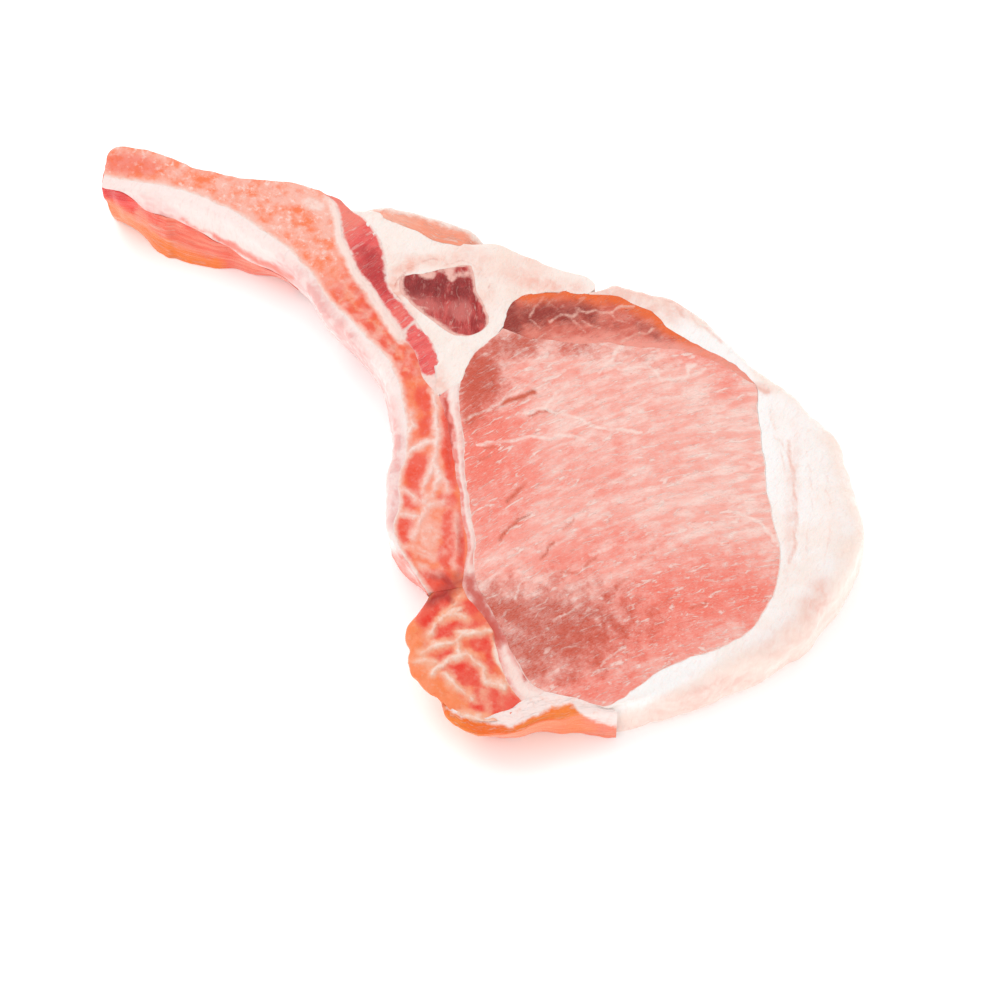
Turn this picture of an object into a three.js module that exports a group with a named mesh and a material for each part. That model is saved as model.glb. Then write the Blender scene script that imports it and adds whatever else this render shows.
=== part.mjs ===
// A raw veal rib chop lying on its lower cut face: loin muscle, fat cap, rib and chine.
// Millimetres, +Z up. +X runs from the rib tip to the fat cap, the origin is under the middle.
import * as THREE from "three";
import { mergeVertices } from "three/addons/utils/BufferGeometryUtils.js";

// Driving dimensions.
const CUT_HEIGHT = 22;       // height of the cut face over most of the chop
const CUT_DROP = 8;          // how much thinner the chop is at its near end
const DROP_START = -30;      // depth at which the cut face begins to fall
const DROP_LENGTH = 48;      // depth over which it falls
const SEAM = 0.6;            // clearance between neighbouring pieces
const EYE_DOME = 1.4;        // rise of the loin muscle's middle
const LINING_WIDTH = 3;      // width of the white lining beside the sawn rib
const MEAT_HEIGHT = 11.5;    // meat left under the tip half of the rib
const TIP_RISE = 7;          // how much higher it reaches at the very tip
const RIB_UNDERCUT = 6;      // how far the rib's side tucks in above the table
const RIB_FLARE = 3;         // how far the side leans out behind the tip
const TIP_UNDERCUT = 5;      // how far the very tip tucks in
const FAT_SHOULDER = 8;      // rounding of the fat cap's upper edge where it is widest
const FAT_HEEL = 3;          // rounding of the fat cap's lower edge
const FOOT_UNDERCUT = 7;     // how far the foot's front tucks in above the table
const NECK_UNDERCUT = 5;     // how far its left side and the rib's neck tuck in
const EDGE_FALL = 9;         // how far the front edge strip falls at its far end
const BEAD_HEIGHT = 0.5;     // relief of the spongy bone
const BEAD_PITCH = 9;        // spacing of its beads

// Depth is measured towards the far side, square to the line the chop tapers along.
const DEPTH_X = -0.53;
const DEPTH_Y = 0.848;

const SAMPLES = 60;

// Boundary lines on the cut face. Neighbouring pieces share a line.
const BONE_FAR = line([
  [-102, 19], [-103.5, 24], [-95, 28.5], [-82, 30.5], [-70, 34.5], [-59, 39.5], [-51, 40],
  [-40.5, 31], [-31, 24.5], [-23, 20.5], [-15.5, 17], [-9.5, 13.5], [-5, 9.5], [2, 6],
  [10, -2], [17.5, -11], [24.5, -19.5], [30, -26.5], [32.5, -32.5], [38, -34.5],
  [43.5, -37.5], [47.5, -41.5], [52.5, -45.5], [57.5, -47.5],
]);
const RIB_NEAR = line([
  [-100.5, 16.5], [-97, 17.5], [-90, 20.5], [-80.5, 23.5], [-69.5, 24.5], [-60, 23.5], [-51, 22.5],
  [-43.5, 20], [-33, 15], [-24, 12.5], [-18.5, 10.5], [-13.5, 8.5], [-8.5, 5], [-3.5, -0.5],
  [1.5, -7], [4.5, -14.5], [8.5, -21.5], [13.5, -30.5], [26.5, -37.5],
]);
const EYE_NEAR = line([
  [4, 30.5], [2.5, 24], [1.5, 18.5], [3.5, 12], [9, 4], [15.5, -5], [22, -13.5], [28.5, -21.5],
  [33.5, -28.5], [39, -32.5], [45, -36], [51, -39.5], [56.5, -42.5], [61, -43],
]);
const LEAN_FAR = line([
  [3, 33], [2.5, 36.5], [3.5, 40.5], [7.5, 45], [15.5, 49], [23, 52.5], [31, 53], [38.5, 51.5],
  [46.5, 51], [55.5, 51], [62, 48.5], [66.5, 42.5], [72, 35], [77, 27.5], [82.5, 20.5], [88, 14.5],
  [92, 8], [93, 2], [92.5, -6], [89, -13.5], [84.5, -19], [80, -25], [78, -30], [76.5, -34.5],
  [73.5, -38.5],
]);
const CAP_NEAR = line([
  [4, 30.5], [11, 31.5], [17.5, 34.5], [25.5, 39], [34, 43.5], [42.5, 47.5], [51, 49.3], [61.9, 48.5],
]);
const FAT_OUTER = line([
  [16, 52.3], [17.5, 55.5], [21.5, 57], [28, 58.5], [35, 60], [42, 59], [50, 56.5], [56.5, 54.5],
  [63.5, 53], [70.5, 52], [78.5, 50], [86, 47], [92.5, 41], [99, 34.5], [102.5, 29], [104, 22.5],
  [104.5, 15.5], [104, 7.5], [102.5, 0.5], [99, -7], [95, -14], [89.5, -22], [84, -29], [78, -35],
]);
const STRIP_FAR = line([
  [-48.5, 40.5], [-39.5, 39], [-34, 36.5], [-29.5, 31.5], [-25.5, 27], [-21, 24.5], [-16, 22.5],
  [-12, 20.5], [-7, 17.5], [-3.5, 15], [-1.5, 11],
]);
const BACK_NEAR = line([[-46, 41.3], [-37, 42], [-29, 43], [-21, 43.5], [-16, 45], [-13, 47]]);
const BACK_FAR = line([[-47, 42.8], [-40.5, 45.5], [-33, 47.5], [-25.5, 49.5], [-17.5, 50.5], [-10.5, 51]]);
const DARK_OUTLINE = loop([
  [-24, 30.5], [-19.5, 34], [-16, 38], [-11.5, 41], [-10.5, 40.3], [-9.5, 39.3], [-8.5, 38.2], [-6, 35.8],
  [-3, 33.8], [0.5, 30], [-1.5, 24.5], [-5.5, 22.7], [-8, 22.7], [-11, 23.2], [-14, 23.7], [-18, 24.5],
  [-22, 26.5], [-23.7, 28.3], [-24, 29.5],
]);
const WEDGE_OUTLINE = loop([
  [-40, 40.3], [-26.5, 41.8], [-17, 43.4], [-8, 49.3], [4, 50.4], [14.6, 52.3], [15.6, 50], [7.4, 45.7],
  [2.7, 41], [2.9, 31.2], [1.2, 18.7], [3.1, 11.2], [1.5, 8.6], [-2.4, 15.2], [-7, 18.1], [-15.5, 22.8],
  [-24.8, 27.2], [-28.9, 31.9], [-33.8, 37.3],
]);
const CHINE_NEAR = line([
  [26.7, -38.2], [26.8, -45], [28, -50.5], [32.5, -54.5], [38, -56.5], [44, -57.5], [50, -57], [56.5, -53],
]);
const EDGE_FAR = line([
  [40, -57.2], [44, -57.7], [50.3, -57.2], [57.2, -53], [58.6, -47.6], [61.6, -43.6], [68, -41.2],
  [74.4, -38.8],
]);
const EDGE_NEAR = line([
  [40, -59.2], [46, -60.2], [52.5, -59.8], [60, -55], [64.5, -48.5], [68.5, -44.5], [72, -41.5],
  [77, -37.5],
]);

const MATERIALS = {
  lean: new THREE.MeshStandardMaterial({ name: "lean", color: 0xe3938a }),
  dark_lean: new THREE.MeshStandardMaterial({ name: "dark_lean", color: 0x9a4a46 }),
  fat: new THREE.MeshStandardMaterial({ name: "fat", color: 0xf3e6dc }),
  bone: new THREE.MeshStandardMaterial({ name: "bone", color: 0xe08a68 }),
  membrane: new THREE.MeshStandardMaterial({ name: "membrane", color: 0xf1dcd6 }),
};

function points(pairs) {
  return pairs.map(([x, y]) => new THREE.Vector3(x, y, 0));
}

function line(pairs) {
  return new THREE.CatmullRomCurve3(points(pairs), false, "centripetal");
}

function loop(pairs) {
  return new THREE.CatmullRomCurve3(points(pairs), true, "centripetal");
}

// The stretch of a line between two of its points, counted from 0, walked point by point.
function byPoint(curve, from, to) {
  const spans = curve.points.length - 1;
  return (t) => curve.getPoint(THREE.MathUtils.lerp(from, to, t) / spans);
}

// The same stretch walked at an even pace.
function byLength(curve, from, to) {
  const stretch = byPoint(curve, from, to);
  const samples = Array.from({ length: SAMPLES + 1 }, (_, i) => stretch(i / SAMPLES));
  const even = new THREE.CatmullRomCurve3(samples, false, "centripetal");
  return (t) => even.getPointAt(t);
}

// The stretch of a loop between two of its points, walked point by point.
function byTurn(curve, from, to) {
  return (t) => curve.getPoint(THREE.MathUtils.lerp(from, to, t) / curve.points.length);
}

// Unit direction to the left of a walk.
function leftOf(walk, t) {
  const step = 0.004;
  const before = walk(Math.max(0, t - step));
  const after = walk(Math.min(1, t + step));
  const way = after.sub(before).normalize();
  return new THREE.Vector3(-way.y, way.x, 0);
}

function ease(from, to, value) {
  const t = THREE.MathUtils.clamp((value - from) / (to - from), 0, 1);
  return t * t * (3 - 2 * t);
}

// Height of the cut face. It falls towards the near end.
function cutFace(x, y) {
  const depth = DEPTH_X * x + DEPTH_Y * y;
  return CUT_HEIGHT - CUT_DROP * ease(-DROP_START, -DROP_START + DROP_LENGTH, -depth);
}

// The side of the foot tucks in towards the table. Every piece takes the same lean.
function tuckFoot(at) {
  const depth = DEPTH_X * at.x + DEPTH_Y * at.y;
  const across = DEPTH_Y * at.x - DEPTH_X * at.y;
  const low = Math.max(0, 1 - at.z / cutFace(at.x, at.y));
  const inward = FOOT_UNDERCUT * low * ease(38, 62, -depth) * (1 - ease(52, 80, at.x));
  const sideways = NECK_UNDERCUT * low * ease(26, 46, -depth) * (1 - ease(-4, 20, across));
  at.x += DEPTH_X * inward + DEPTH_Y * sideways;
  at.y += DEPTH_Y * inward - DEPTH_X * sideways;
}

// Low beads of the spongy bone.
function beads(x, y) {
  const turn = 2 * Math.PI / BEAD_PITCH;
  return BEAD_HEIGHT * Math.sin(turn * (0.8 * x + 0.6 * y)) * Math.cos(turn * (0.6 * x - 0.8 * y) * 0.6);
}

// Drop of a quarter-round edge at a distance in from it.
function roundEdge(distance, radius) {
  if (radius <= 0 || distance >= radius) {
    return 0;
  }
  const inward = 1 - distance / radius;
  return radius * (1 - Math.sqrt(Math.max(0, 1 - inward * inward)));
}

function close(geometry) {
  geometry.deleteAttribute("uv");
  geometry.deleteAttribute("normal");
  const merged = mergeVertices(geometry, 1e-4);
  merged.computeVertexNormals();
  return merged;
}

const group = new THREE.Group();

function add(name, material, geometry) {
  const mesh = new THREE.Mesh(close(geometry), MATERIALS[material]);
  mesh.name = name;
  group.add(mesh);
}

function walkLength(near, far) {
  let total = 0;
  let last = near(0).lerp(far(0), 0.5);
  for (let i = 1; i <= SAMPLES; i++) {
    const next = near(i / SAMPLES).lerp(far(i / SAMPLES), 0.5);
    total += next.distanceTo(last);
    last = next;
  }
  return total;
}

// A piece between two lines, standing on the table. Far is to the left of the walk.
function slab(name, material, near, far, steps, shape = {}) {
  const top = shape.top ?? cutFace;
  const bottom = shape.bottom ?? (() => 0);
  const bend = shape.bend ?? (() => new THREE.Vector3());
  const push = shape.push ?? (() => new THREE.Vector3());
  const spread = shape.spread ?? 1;
  const shoulder = shape.shoulder ?? (() => 0);
  const heel = shape.heel ?? (() => 0);
  const outerNear = shape.outerNear ?? false;
  const endTrim = SEAM / 2 / walkLength(near, far);
  const geometry = new THREE.BoxGeometry(1, 1, 1, ...steps);
  const position = geometry.attributes.position;
  for (let i = 0; i < position.count; i++) {
    const u = THREE.MathUtils.lerp(endTrim, 1 - endTrim, position.getX(i) + 0.5);
    const v = 1 - (0.5 - position.getY(i)) ** spread;
    const w = position.getZ(i) + 0.5;
    const from = near(u);
    const to = far(u);
    const width = from.distanceTo(to);
    const inset = Math.min(0.3, SEAM / 2 / width);
    const at = from.lerp(to, THREE.MathUtils.lerp(inset, 1 - inset, v)).add(bend(u, v));
    const edge = (outerNear ? v : 1 - v) * width;
    const high = top(at.x, at.y, u, v) - roundEdge(edge, Math.min(shoulder(u), 0.8 * width));
    const low = bottom(at.x, at.y) + roundEdge(edge, Math.min(heel(u), 0.5 * width));
    at.z = THREE.MathUtils.lerp(low, high, w);
    at.add(push(u, v, at.z));
    tuckFoot(at);
    position.setXYZ(i, at.x, at.y, at.z);
  }
  add(name, material, geometry);
}

// Loin muscle, with its far end bent to the line of the cap muscle.
const eyeNear = byLength(EYE_NEAR, 0, 13);
const eyeFar = byLength(LEAN_FAR, 10, 24);
const capNear = byLength(CAP_NEAR, 0, 7);
slab("loin_eye", "lean", eyeNear, eyeFar, [26, 14, 2], {
  top: (x, y, u, v) => cutFace(x, y) + EYE_DOME * Math.sin(Math.PI * u) * Math.sin(Math.PI * v),
  bend: (u, v) => {
    const straight = eyeNear(0).lerp(eyeFar(0), v);
    return capNear(v).sub(straight).multiplyScalar((1 - u) ** 4);
  },
});

// Dark cap muscle along the far side of the eye.
slab("cap_muscle", "dark_lean", byLength(CAP_NEAR, 0.15, 6.6), byLength(LEAN_FAR, 0, 9.5), [24, 4, 2]);

// Fat cap from the notch round to the near end.
slab("fat_cap", "fat", byLength(LEAN_FAR, 4.4, 23.5), byLength(FAT_OUTER, 0, 23), [38, 7, 4], {
  spread: 1.7,
  shoulder: (u) => FAT_SHOULDER * (0.35 + 0.65 * ease(0.2, 0.5, u)),
  heel: (u) => FAT_HEEL * (0.5 + 0.5 * ease(0.2, 0.5, u)),
});

// Small dark muscle, and the wedge of fat round it in four stretches. The two loops have facing points.
slab("dark_muscle", "dark_lean", byTurn(DARK_OUTLINE, 18.4, 10.6), byTurn(DARK_OUTLINE, 0.4, 8.8), [12, 6, 2]);
slab("fat_wedge_left", "fat", byTurn(WEDGE_OUTLINE, 18.9, 16.1), byTurn(WEDGE_OUTLINE, 0.1, 1.4), [10, 3, 2]);
slab("fat_wedge_back", "fat", byTurn(DARK_OUTLINE, 0.1, 9.3), byTurn(WEDGE_OUTLINE, 1.42, 9.3), [36, 2, 2]);
slab("fat_wedge_side", "fat", byTurn(WEDGE_OUTLINE, 16.05, 14.4), byTurn(DARK_OUTLINE, 17.3, 14.3), [8, 2, 2]);
slab("fat_wedge_low", "fat", byTurn(WEDGE_OUTLINE, 14.25, 12.1), byTurn(DARK_OUTLINE, 14.15, 9.3), [16, 3, 2]);

// Seam of fat between the bones and the eye.
slab("seam_fat", "fat", byLength(BONE_FAR, 13.05, 23), byLength(EYE_NEAR, 3.2, 13), [34, 2, 2]);

// Red strips of lean beside the rib, and the strip along the back edge.
const stripUpperNear = byLength(BONE_FAR, 5.7, 9.8);
const stripUpperFar = byLength(STRIP_FAR, 0, 6.2);
slab("side_strip_upper", "dark_lean", stripUpperNear, stripUpperFar, [14, 3, 2]);
const stripLowerNear = byLength(BONE_FAR, 10.1, 12.9);
const stripLowerFar = byLength(STRIP_FAR, 6.7, 10);
slab("side_strip_lower", "dark_lean", stripLowerNear, stripLowerFar, [9, 3, 2]);
slab("back_strip", "lean", byLength(BACK_NEAR, 0, 5), byLength(BACK_FAR, 0, 5), [12, 2, 3], {
  shoulder: () => 2,
});

// The sawn rib, its white lining and the meat left under the tip half.
const ribNear = byPoint(RIB_NEAR, 0, 18);
const ribFar = byPoint(BONE_FAR, 0, 18);
const liningWidth = (t) => LINING_WIDTH * (1 - 0.6 * ease(0.9, 1, t));
const liningOuter = (t) => ribNear(t).addScaledVector(leftOf(ribNear, t), -liningWidth(t));
const ribFloor = (x) => MEAT_HEIGHT * (1 - ease(-84, -48, x)) + TIP_RISE * (1 - ease(-100.5, -90, x));

// The rib's near side flares at the tip and tucks in along the middle.
function sideLean(u, z) {
  const at = ribNear(u);
  const flare = RIB_FLARE * (ease(-96, -84, at.x) - ease(-80, -66, at.x));
  const tip = TIP_UNDERCUT * (1 - ease(-100, -86, at.x));
  const tuck = RIB_UNDERCUT * (ease(-72, -54, at.x) - ease(-24, -4, at.x));
  const low = Math.max(0, 1 - z / CUT_HEIGHT) ** 1.5;
  return leftOf(ribNear, u).multiplyScalar((tip + tuck - flare) * low);
}

slab("rib_bone", "bone", ribNear, ribFar, [44, 5, 2], {
  top: (x, y, u, v) => cutFace(x, y) + beads(x, y) * Math.sin(Math.PI * v),
  bottom: ribFloor,
  push: (u, v, z) => sideLean(u, z).multiplyScalar(0.75 * (1 - v)),
});
slab("rib_lining", "membrane", liningOuter, ribNear, [44, 2, 3], {
  bottom: ribFloor,
  push: (u, v, z) => sideLean(u, z).multiplyScalar(1 - 0.25 * v),
  shoulder: () => 1.6,
  outerNear: true,
});

const tipSpan = 5.2 / 18;
const meatTop = (x) => ribFloor(x) - 1.5 * SEAM;
slab("rib_meat", "lean", (t) => liningOuter(t * tipSpan), byPoint(BONE_FAR, 0, 5.2), [18, 4, 2], {
  top: meatTop,
  push: (u, v, z) => sideLean(u * tipSpan, z).multiplyScalar(1 - v),
});

// The foot of chine bone and the strip along its front edge.
slab("chine_bone", "bone", byLength(CHINE_NEAR, 0, 7), byLength(BONE_FAR, 18.1, 23), [16, 8, 2], {
  top: (x, y, u, v) => cutFace(x, y) + beads(x, y) * Math.sin(Math.PI * v) * Math.sin(Math.PI * u),
});
slab("edge_strip", "lean", byLength(EDGE_NEAR, 0, 7), byLength(EDGE_FAR, 0, 7), [16, 2, 3], {
  top: (x, y, u) => cutFace(x, y) - EDGE_FALL * ease(0.84, 1, u),
  shoulder: () => 1.2,
  outerNear: true,
});

export default group;
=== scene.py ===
# %% [markdown]
# # A raw veal rib chop
#
# The object is one thick slice across a calf's rack. A round pale loin muscle fills its middle, a darker cap
# muscle lies behind it, a rim of white fat goes round the outside, and a sawn rib runs off to one side and
# ends in a foot of chine bone. The slice lies flat, so nearly everything that shows is one sawn face.
# Each piece below is a block that goes right through the slice, because that is how a slice is made: what
# shows on the upper face shows again underneath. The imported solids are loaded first, as a fixed frame.

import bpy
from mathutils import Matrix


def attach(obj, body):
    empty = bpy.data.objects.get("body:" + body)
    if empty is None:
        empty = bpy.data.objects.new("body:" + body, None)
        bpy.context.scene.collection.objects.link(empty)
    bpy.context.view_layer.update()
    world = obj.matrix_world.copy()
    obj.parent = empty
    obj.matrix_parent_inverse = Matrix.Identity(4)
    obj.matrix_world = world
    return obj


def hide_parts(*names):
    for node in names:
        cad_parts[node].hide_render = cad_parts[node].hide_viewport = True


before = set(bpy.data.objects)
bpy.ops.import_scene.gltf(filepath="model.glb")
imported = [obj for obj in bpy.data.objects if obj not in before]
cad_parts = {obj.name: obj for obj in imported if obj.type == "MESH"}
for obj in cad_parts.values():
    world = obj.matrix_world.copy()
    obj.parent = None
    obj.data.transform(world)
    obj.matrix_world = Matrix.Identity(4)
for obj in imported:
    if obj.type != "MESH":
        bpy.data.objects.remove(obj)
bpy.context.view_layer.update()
print("packed nodes:", len(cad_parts))

# %% Tools and units
from types import SimpleNamespace

import bpy
import numpy as np

MM = 0.001
print("lengths below are in millimetres, and one of them is", MM, "of Blender's metres")

# %% [markdown]
# ## The camera
#
# The photograph looks down on the slice from about sixty degrees above the table, with a long lens.
# A camera could be placed by eye. Here it is worked out from an aim point, two angles and a scale, so that
# the same numbers also tell which pixel of the photograph shows a point of the sawn face. Marks that were
# read off the photograph can then be given in its pixels.

# %% Camera
ELEVATION = np.radians(60.0)
TURN = np.radians(32.0)
DISTANCE = 850.0
PIXELS_PER_MM = 4.3
PHOTO_MIDDLE = 500.0
SENSOR = 36.0
FARTHEST = 10.0
AIM = np.array([24.5, -3.5, 10.0])
ACROSS = np.array([np.cos(TURN), np.sin(TURN), 0.0])
AWAY = np.array([-np.sin(TURN), np.cos(TURN), 0.0])
BACKWARD = np.sin(ELEVATION) * np.array([0.0, 0.0, 1.0]) - np.cos(ELEVATION) * AWAY
UPWARD = np.cross(BACKWARD, ACROSS)
EYE = AIM + DISTANCE * BACKWARD

lens = bpy.data.cameras.new("photo_camera")
lens.sensor_width = SENSOR
lens.lens = SENSOR * PIXELS_PER_MM * DISTANCE / (2.0 * PHOTO_MIDDLE)
lens.clip_end = FARTHEST
camera = bpy.data.objects.new("photo_camera", lens)
camera.location = EYE * MM
camera.rotation_euler = (np.pi / 2 - ELEVATION, 0.0, TURN)
bpy.context.scene.collection.objects.link(camera)
bpy.context.scene.camera = camera
print("lens", round(lens.lens, 2), "mm at", np.round(EYE), "mm")

# %% [markdown]
# ## The sawn face and the sides
#
# The face is flat over the loin and falls a little towards the chine bone at the near end, where the saw
# left the slice thinner. The sides of the foot and of the neck tuck in towards the table.
# Every piece uses the same two functions, so the faces of neighbours meet level.

# %% Face and tuck
CUT_HEIGHT = 22.0
CUT_DROP = 8.0
DROP_SPAN = (30.0, 78.0)
FOOT_TUCK = 7.0
FOOT_SPAN = (38.0, 62.0)
FOOT_END = (52.0, 80.0)
NECK_TUCK = 8.5
NECK_SPAN = (20.0, 42.0)
NECK_END = (-4.0, 20.0)


def ease(start, stop, value):
    """Smooth step: 0 up to start, 1 from stop on, and t * t * (3 - 2 t) between them."""
    t = np.clip((value - start) / (stop - start), 0.0, 1.0)
    return t * t * (3.0 - 2.0 * t)


def cut_face(plan):
    """Height of the sawn face: a constant, less a drop that is eased in towards the near end."""
    return CUT_HEIGHT - CUT_DROP * ease(*DROP_SPAN, -plan @ AWAY[:2])


def tuck_sides(plan, height):
    """Points in space: plan and height, pushed inwards by the tucks in proportion to the depth below the
    face. Each tuck is eased in over one span and out again over another."""
    nearness = -plan @ AWAY[:2]
    sideways = plan @ ACROSS[:2]
    low = np.maximum(0.0, 1.0 - height / cut_face(plan))
    inward = FOOT_TUCK * low * ease(*FOOT_SPAN, nearness) * (1.0 - ease(*FOOT_END, plan[:, 0]))
    aside = NECK_TUCK * low * ease(*NECK_SPAN, nearness) * (1.0 - ease(*NECK_END, sideways))
    moved = plan + inward[:, None] * AWAY[:2] + aside[:, None] * ACROSS[:2]
    return np.column_stack([moved, height])


def pixel_of(points):
    """Pixel of the photograph that shows each point in space: the point seen from the eye, over its depth."""
    ray = points - EYE
    depth = -ray @ BACKWARD
    focal = PIXELS_PER_MM * DISTANCE
    return PHOTO_MIDDLE + focal * np.column_stack([ray @ ACROSS, -ray @ UPWARD]) / depth[:, None]


def photo_place(plan):
    """Pixel of the photograph that shows each plan point on the sawn face."""
    return pixel_of(np.column_stack([plan, cut_face(plan)]))


print("pixel of the aim point:", np.round(photo_place(AIM[None, :2])[0]))

# %% [markdown]
# ## Outlines
#
# The lines between muscle, fat and bone were read off the photograph and stand here as control points in
# millimetres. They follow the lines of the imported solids. A smooth line through each set could be drawn with
# Blender's curves, but a spline worked out with numpy gives its points straight to the surfaces.

# %% Outlines of the rib and the eye
BONE_FAR = [
    [-102, 19], [-103.5, 24], [-95, 28.5], [-82, 30.5], [-70, 34.5], [-59, 39.5], [-51, 40], [-40.5, 31],
    [-31, 24.5], [-23, 20.5], [-15.5, 17], [-9.5, 13.5], [-5, 9.5], [2, 6], [10, -2], [17.5, -11],
    [24.5, -19.5], [30, -26.5], [32.5, -32.5], [38, -34.5], [43.5, -37.5], [47.5, -41.5], [52.5, -45.5],
    [57.5, -47.5],
]
RIB_NEAR = [
    [-100.5, 16.5], [-97, 17.5], [-90, 20.5], [-80.5, 23.5], [-69.5, 24.5], [-60, 23.5], [-51, 22.5],
    [-43.5, 20], [-33, 15], [-24, 12.5], [-18.5, 10.5], [-13.5, 8.5], [-8.5, 5], [-3.5, -0.5], [1.5, -7],
    [4.5, -14.5], [8.5, -21.5], [13.5, -30.5], [26.5, -37.5],
]
EYE_NEAR = [
    [4, 30.5], [2.5, 24], [1.5, 18.5], [3.5, 12], [9, 4], [15.5, -5], [22, -13.5], [28.5, -21.5],
    [33.5, -28.5], [39, -32.5], [45, -36], [51, -39.5], [56.5, -42.5], [61, -43],
]
LEAN_FAR = [
    [3, 33], [2.5, 36.5], [3.5, 40.5], [7.5, 45], [15.5, 49], [23, 52.5], [31, 53], [38.5, 51.5], [46.5, 51],
    [55.5, 51], [62, 48.5], [66.5, 42.5], [72, 35], [77, 27.5], [82.5, 20.5], [88, 14.5], [92, 8], [93, 2],
    [92.5, -6], [89, -13.5], [84.5, -19], [80, -25], [78, -30], [76.5, -34.5], [73.5, -38.5],
]
CAP_NEAR = [
    [4, 30.5], [11, 31.5], [17.5, 34.5], [25.5, 39], [34, 43.5], [42.5, 47.5], [51, 49.3], [61.9, 48.5],
]
print("rib", len(BONE_FAR), "points, eye", len(EYE_NEAR), "+", len(LEAN_FAR), "points")

# %% Outlines of the fat, the strips and the foot
FAT_OUTER = [
    [16, 52.3], [17.5, 55.5], [21.5, 57], [28, 58.5], [35, 60], [42, 59], [50, 56.5], [56.5, 54.5],
    [63.5, 53], [70.5, 52], [78.5, 50], [86, 47], [92.5, 41], [99, 34.5], [102.5, 29], [104, 22.5],
    [104.5, 15.5], [104, 7.5], [102.5, 0.5], [99, -7], [95, -14], [89.5, -22], [84, -29], [78, -35],
    [75.3, -37.6],
]
STRIP_FAR = [
    [-48.5, 40.5], [-39.5, 39], [-34, 36.5], [-29.5, 31.5], [-25.5, 27], [-21, 24.5], [-16, 22.5],
    [-12, 20.5], [-7, 17.5], [-3.5, 15], [-1.5, 11],
]
BACK_NEAR = [[-44.3, 41.6], [-37, 42], [-29, 43], [-21, 43.5], [-16, 45], [-13, 47]]
BACK_FAR = [[-44.5, 42.2], [-40, 45], [-33, 47.5], [-25.5, 49.5], [-17.5, 50.3], [-11, 49.5]]
DARK_OUTLINE = [
    [-22.2, 32], [-19.5, 34], [-16, 38], [-11.5, 41], [-10.5, 40.3], [-9.5, 39.3], [-8.5, 38.2], [-6, 35.8],
    [-3, 33.8], [0.5, 30], [-1.5, 24.5], [-5.5, 22.7], [-8, 22.7], [-11, 23.2], [-14, 23.7], [-18, 24.5],
    [-22, 26.5], [-23.7, 28.3], [-24.2, 29.8],
]
WEDGE_OUTLINE = [
    [-45, 41.2], [-27, 43.1], [-17, 44.7], [-9.5, 49.7], [4, 50.6], [15.5, 52.4], [15.4, 49.2], [7.6, 45.1],
    [3.4, 40.5], [3.4, 31.5], [1.6, 18.5], [3.6, 11.8], [0.8, 7.6], [-3.4, 15], [-7, 17.5], [-15.8, 22.4],
    [-25.4, 27], [-29.5, 31.5], [-34.5, 36.8],
]
CHINE_NEAR = [
    [26.6, -37.8], [26.8, -45], [28, -50.5], [32.5, -54.5], [38, -56.5], [44, -57.5], [50, -57], [56.5, -53],
]
EDGE_FAR = [
    [40, -57.2], [44, -57.7], [50.3, -57.2], [57.2, -53], [58.6, -47.6], [61.6, -43.6], [68, -41.2],
    [74.4, -38.8],
]
EDGE_NEAR = [
    [39.5, -57.9], [45.5, -59.8], [52.5, -59.8], [60, -55], [64.5, -48.5], [68.5, -44.5], [72, -41.5],
    [77, -37.5],
]
print("fat", len(FAT_OUTER), "points, wedge", len(WEDGE_OUTLINE), "points, foot", len(CHINE_NEAR), "points")

# %% Smooth lines
FINE_STEPS = 2000


def spline(controls, place, closed=False):
    """Point of a smooth line at a place counted in control points. Between two controls it is the cubic that
    starts and ends on them, with slopes from its neighbours spaced by the square roots of their gaps."""
    controls = np.asarray(controls, float)
    if closed:
        padded = np.concatenate([controls[-1:], controls, controls[:2]])
        span = np.floor(place).astype(int) % len(controls)
    else:
        before = 2.0 * controls[:1] - controls[1:2]
        after = 2.0 * controls[-1:] - controls[-2:-1]
        padded = np.concatenate([before, controls, after])
        span = np.clip(np.floor(place).astype(int), 0, len(controls) - 2)
    t = (place - np.floor(place) if closed else place - span)[:, None]
    p0, p1, p2, p3 = padded[span], padded[span + 1], padded[span + 2], padded[span + 3]
    d0, d1, d2 = (np.sqrt(np.linalg.norm(b - a, axis=1))[:, None] for a, b in ((p0, p1), (p1, p2), (p2, p3)))
    slope1 = d1 * ((p1 - p0) / d0 - (p2 - p0) / (d0 + d1) + (p2 - p1) / d1)
    slope2 = d1 * ((p2 - p1) / d1 - (p3 - p1) / (d1 + d2) + (p3 - p2) / d2)
    curve = 2.0 * (p1 - p2) + slope1 + slope2
    bend = 3.0 * (p2 - p1) - 2.0 * slope1 - slope2
    return ((curve * t + bend) * t + slope1) * t + p1


def walk(controls, steps, start=0, stop=None):
    """Steps along a line, evenly counted in controls, from one place to another or to the last control."""
    last = len(controls) - 1 if stop is None else stop
    return spline(controls, np.linspace(start, last, steps + 1))


def even_walk(controls, steps, start=0, stop=None):
    """The same walk with steps of equal length, found on a fine copy of the line."""
    fine = walk(controls, FINE_STEPS, start, stop)
    run = np.concatenate([[0.0], np.cumsum(np.linalg.norm(np.diff(fine, axis=0), axis=1))])
    stops = np.linspace(0.0, run[-1], steps + 1)
    return np.column_stack([np.interp(stops, run, fine[:, k]) for k in range(2)])


def left_of(line):
    """Unit direction to the left at each point of a walk: its slope turned a quarter turn."""
    way = np.gradient(line, axis=0)
    way = way / np.linalg.norm(way, axis=1)[:, None]
    return np.column_stack([-way[:, 1], way[:, 0]])


print("the third point of the rib's far line:", spline(BONE_FAR, np.array([2.0]))[0])

# %% [markdown]
# ## Random fields
#
# Flesh is never quite straight or flat. One smooth random field, used at several sizes, bends the boundaries
# by a fraction of a millimetre and gives the face its low lumps. Blender's own noise only works inside
# materials, so this one is made with numpy, from one fixed table, and comes out the same every time.

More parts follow.
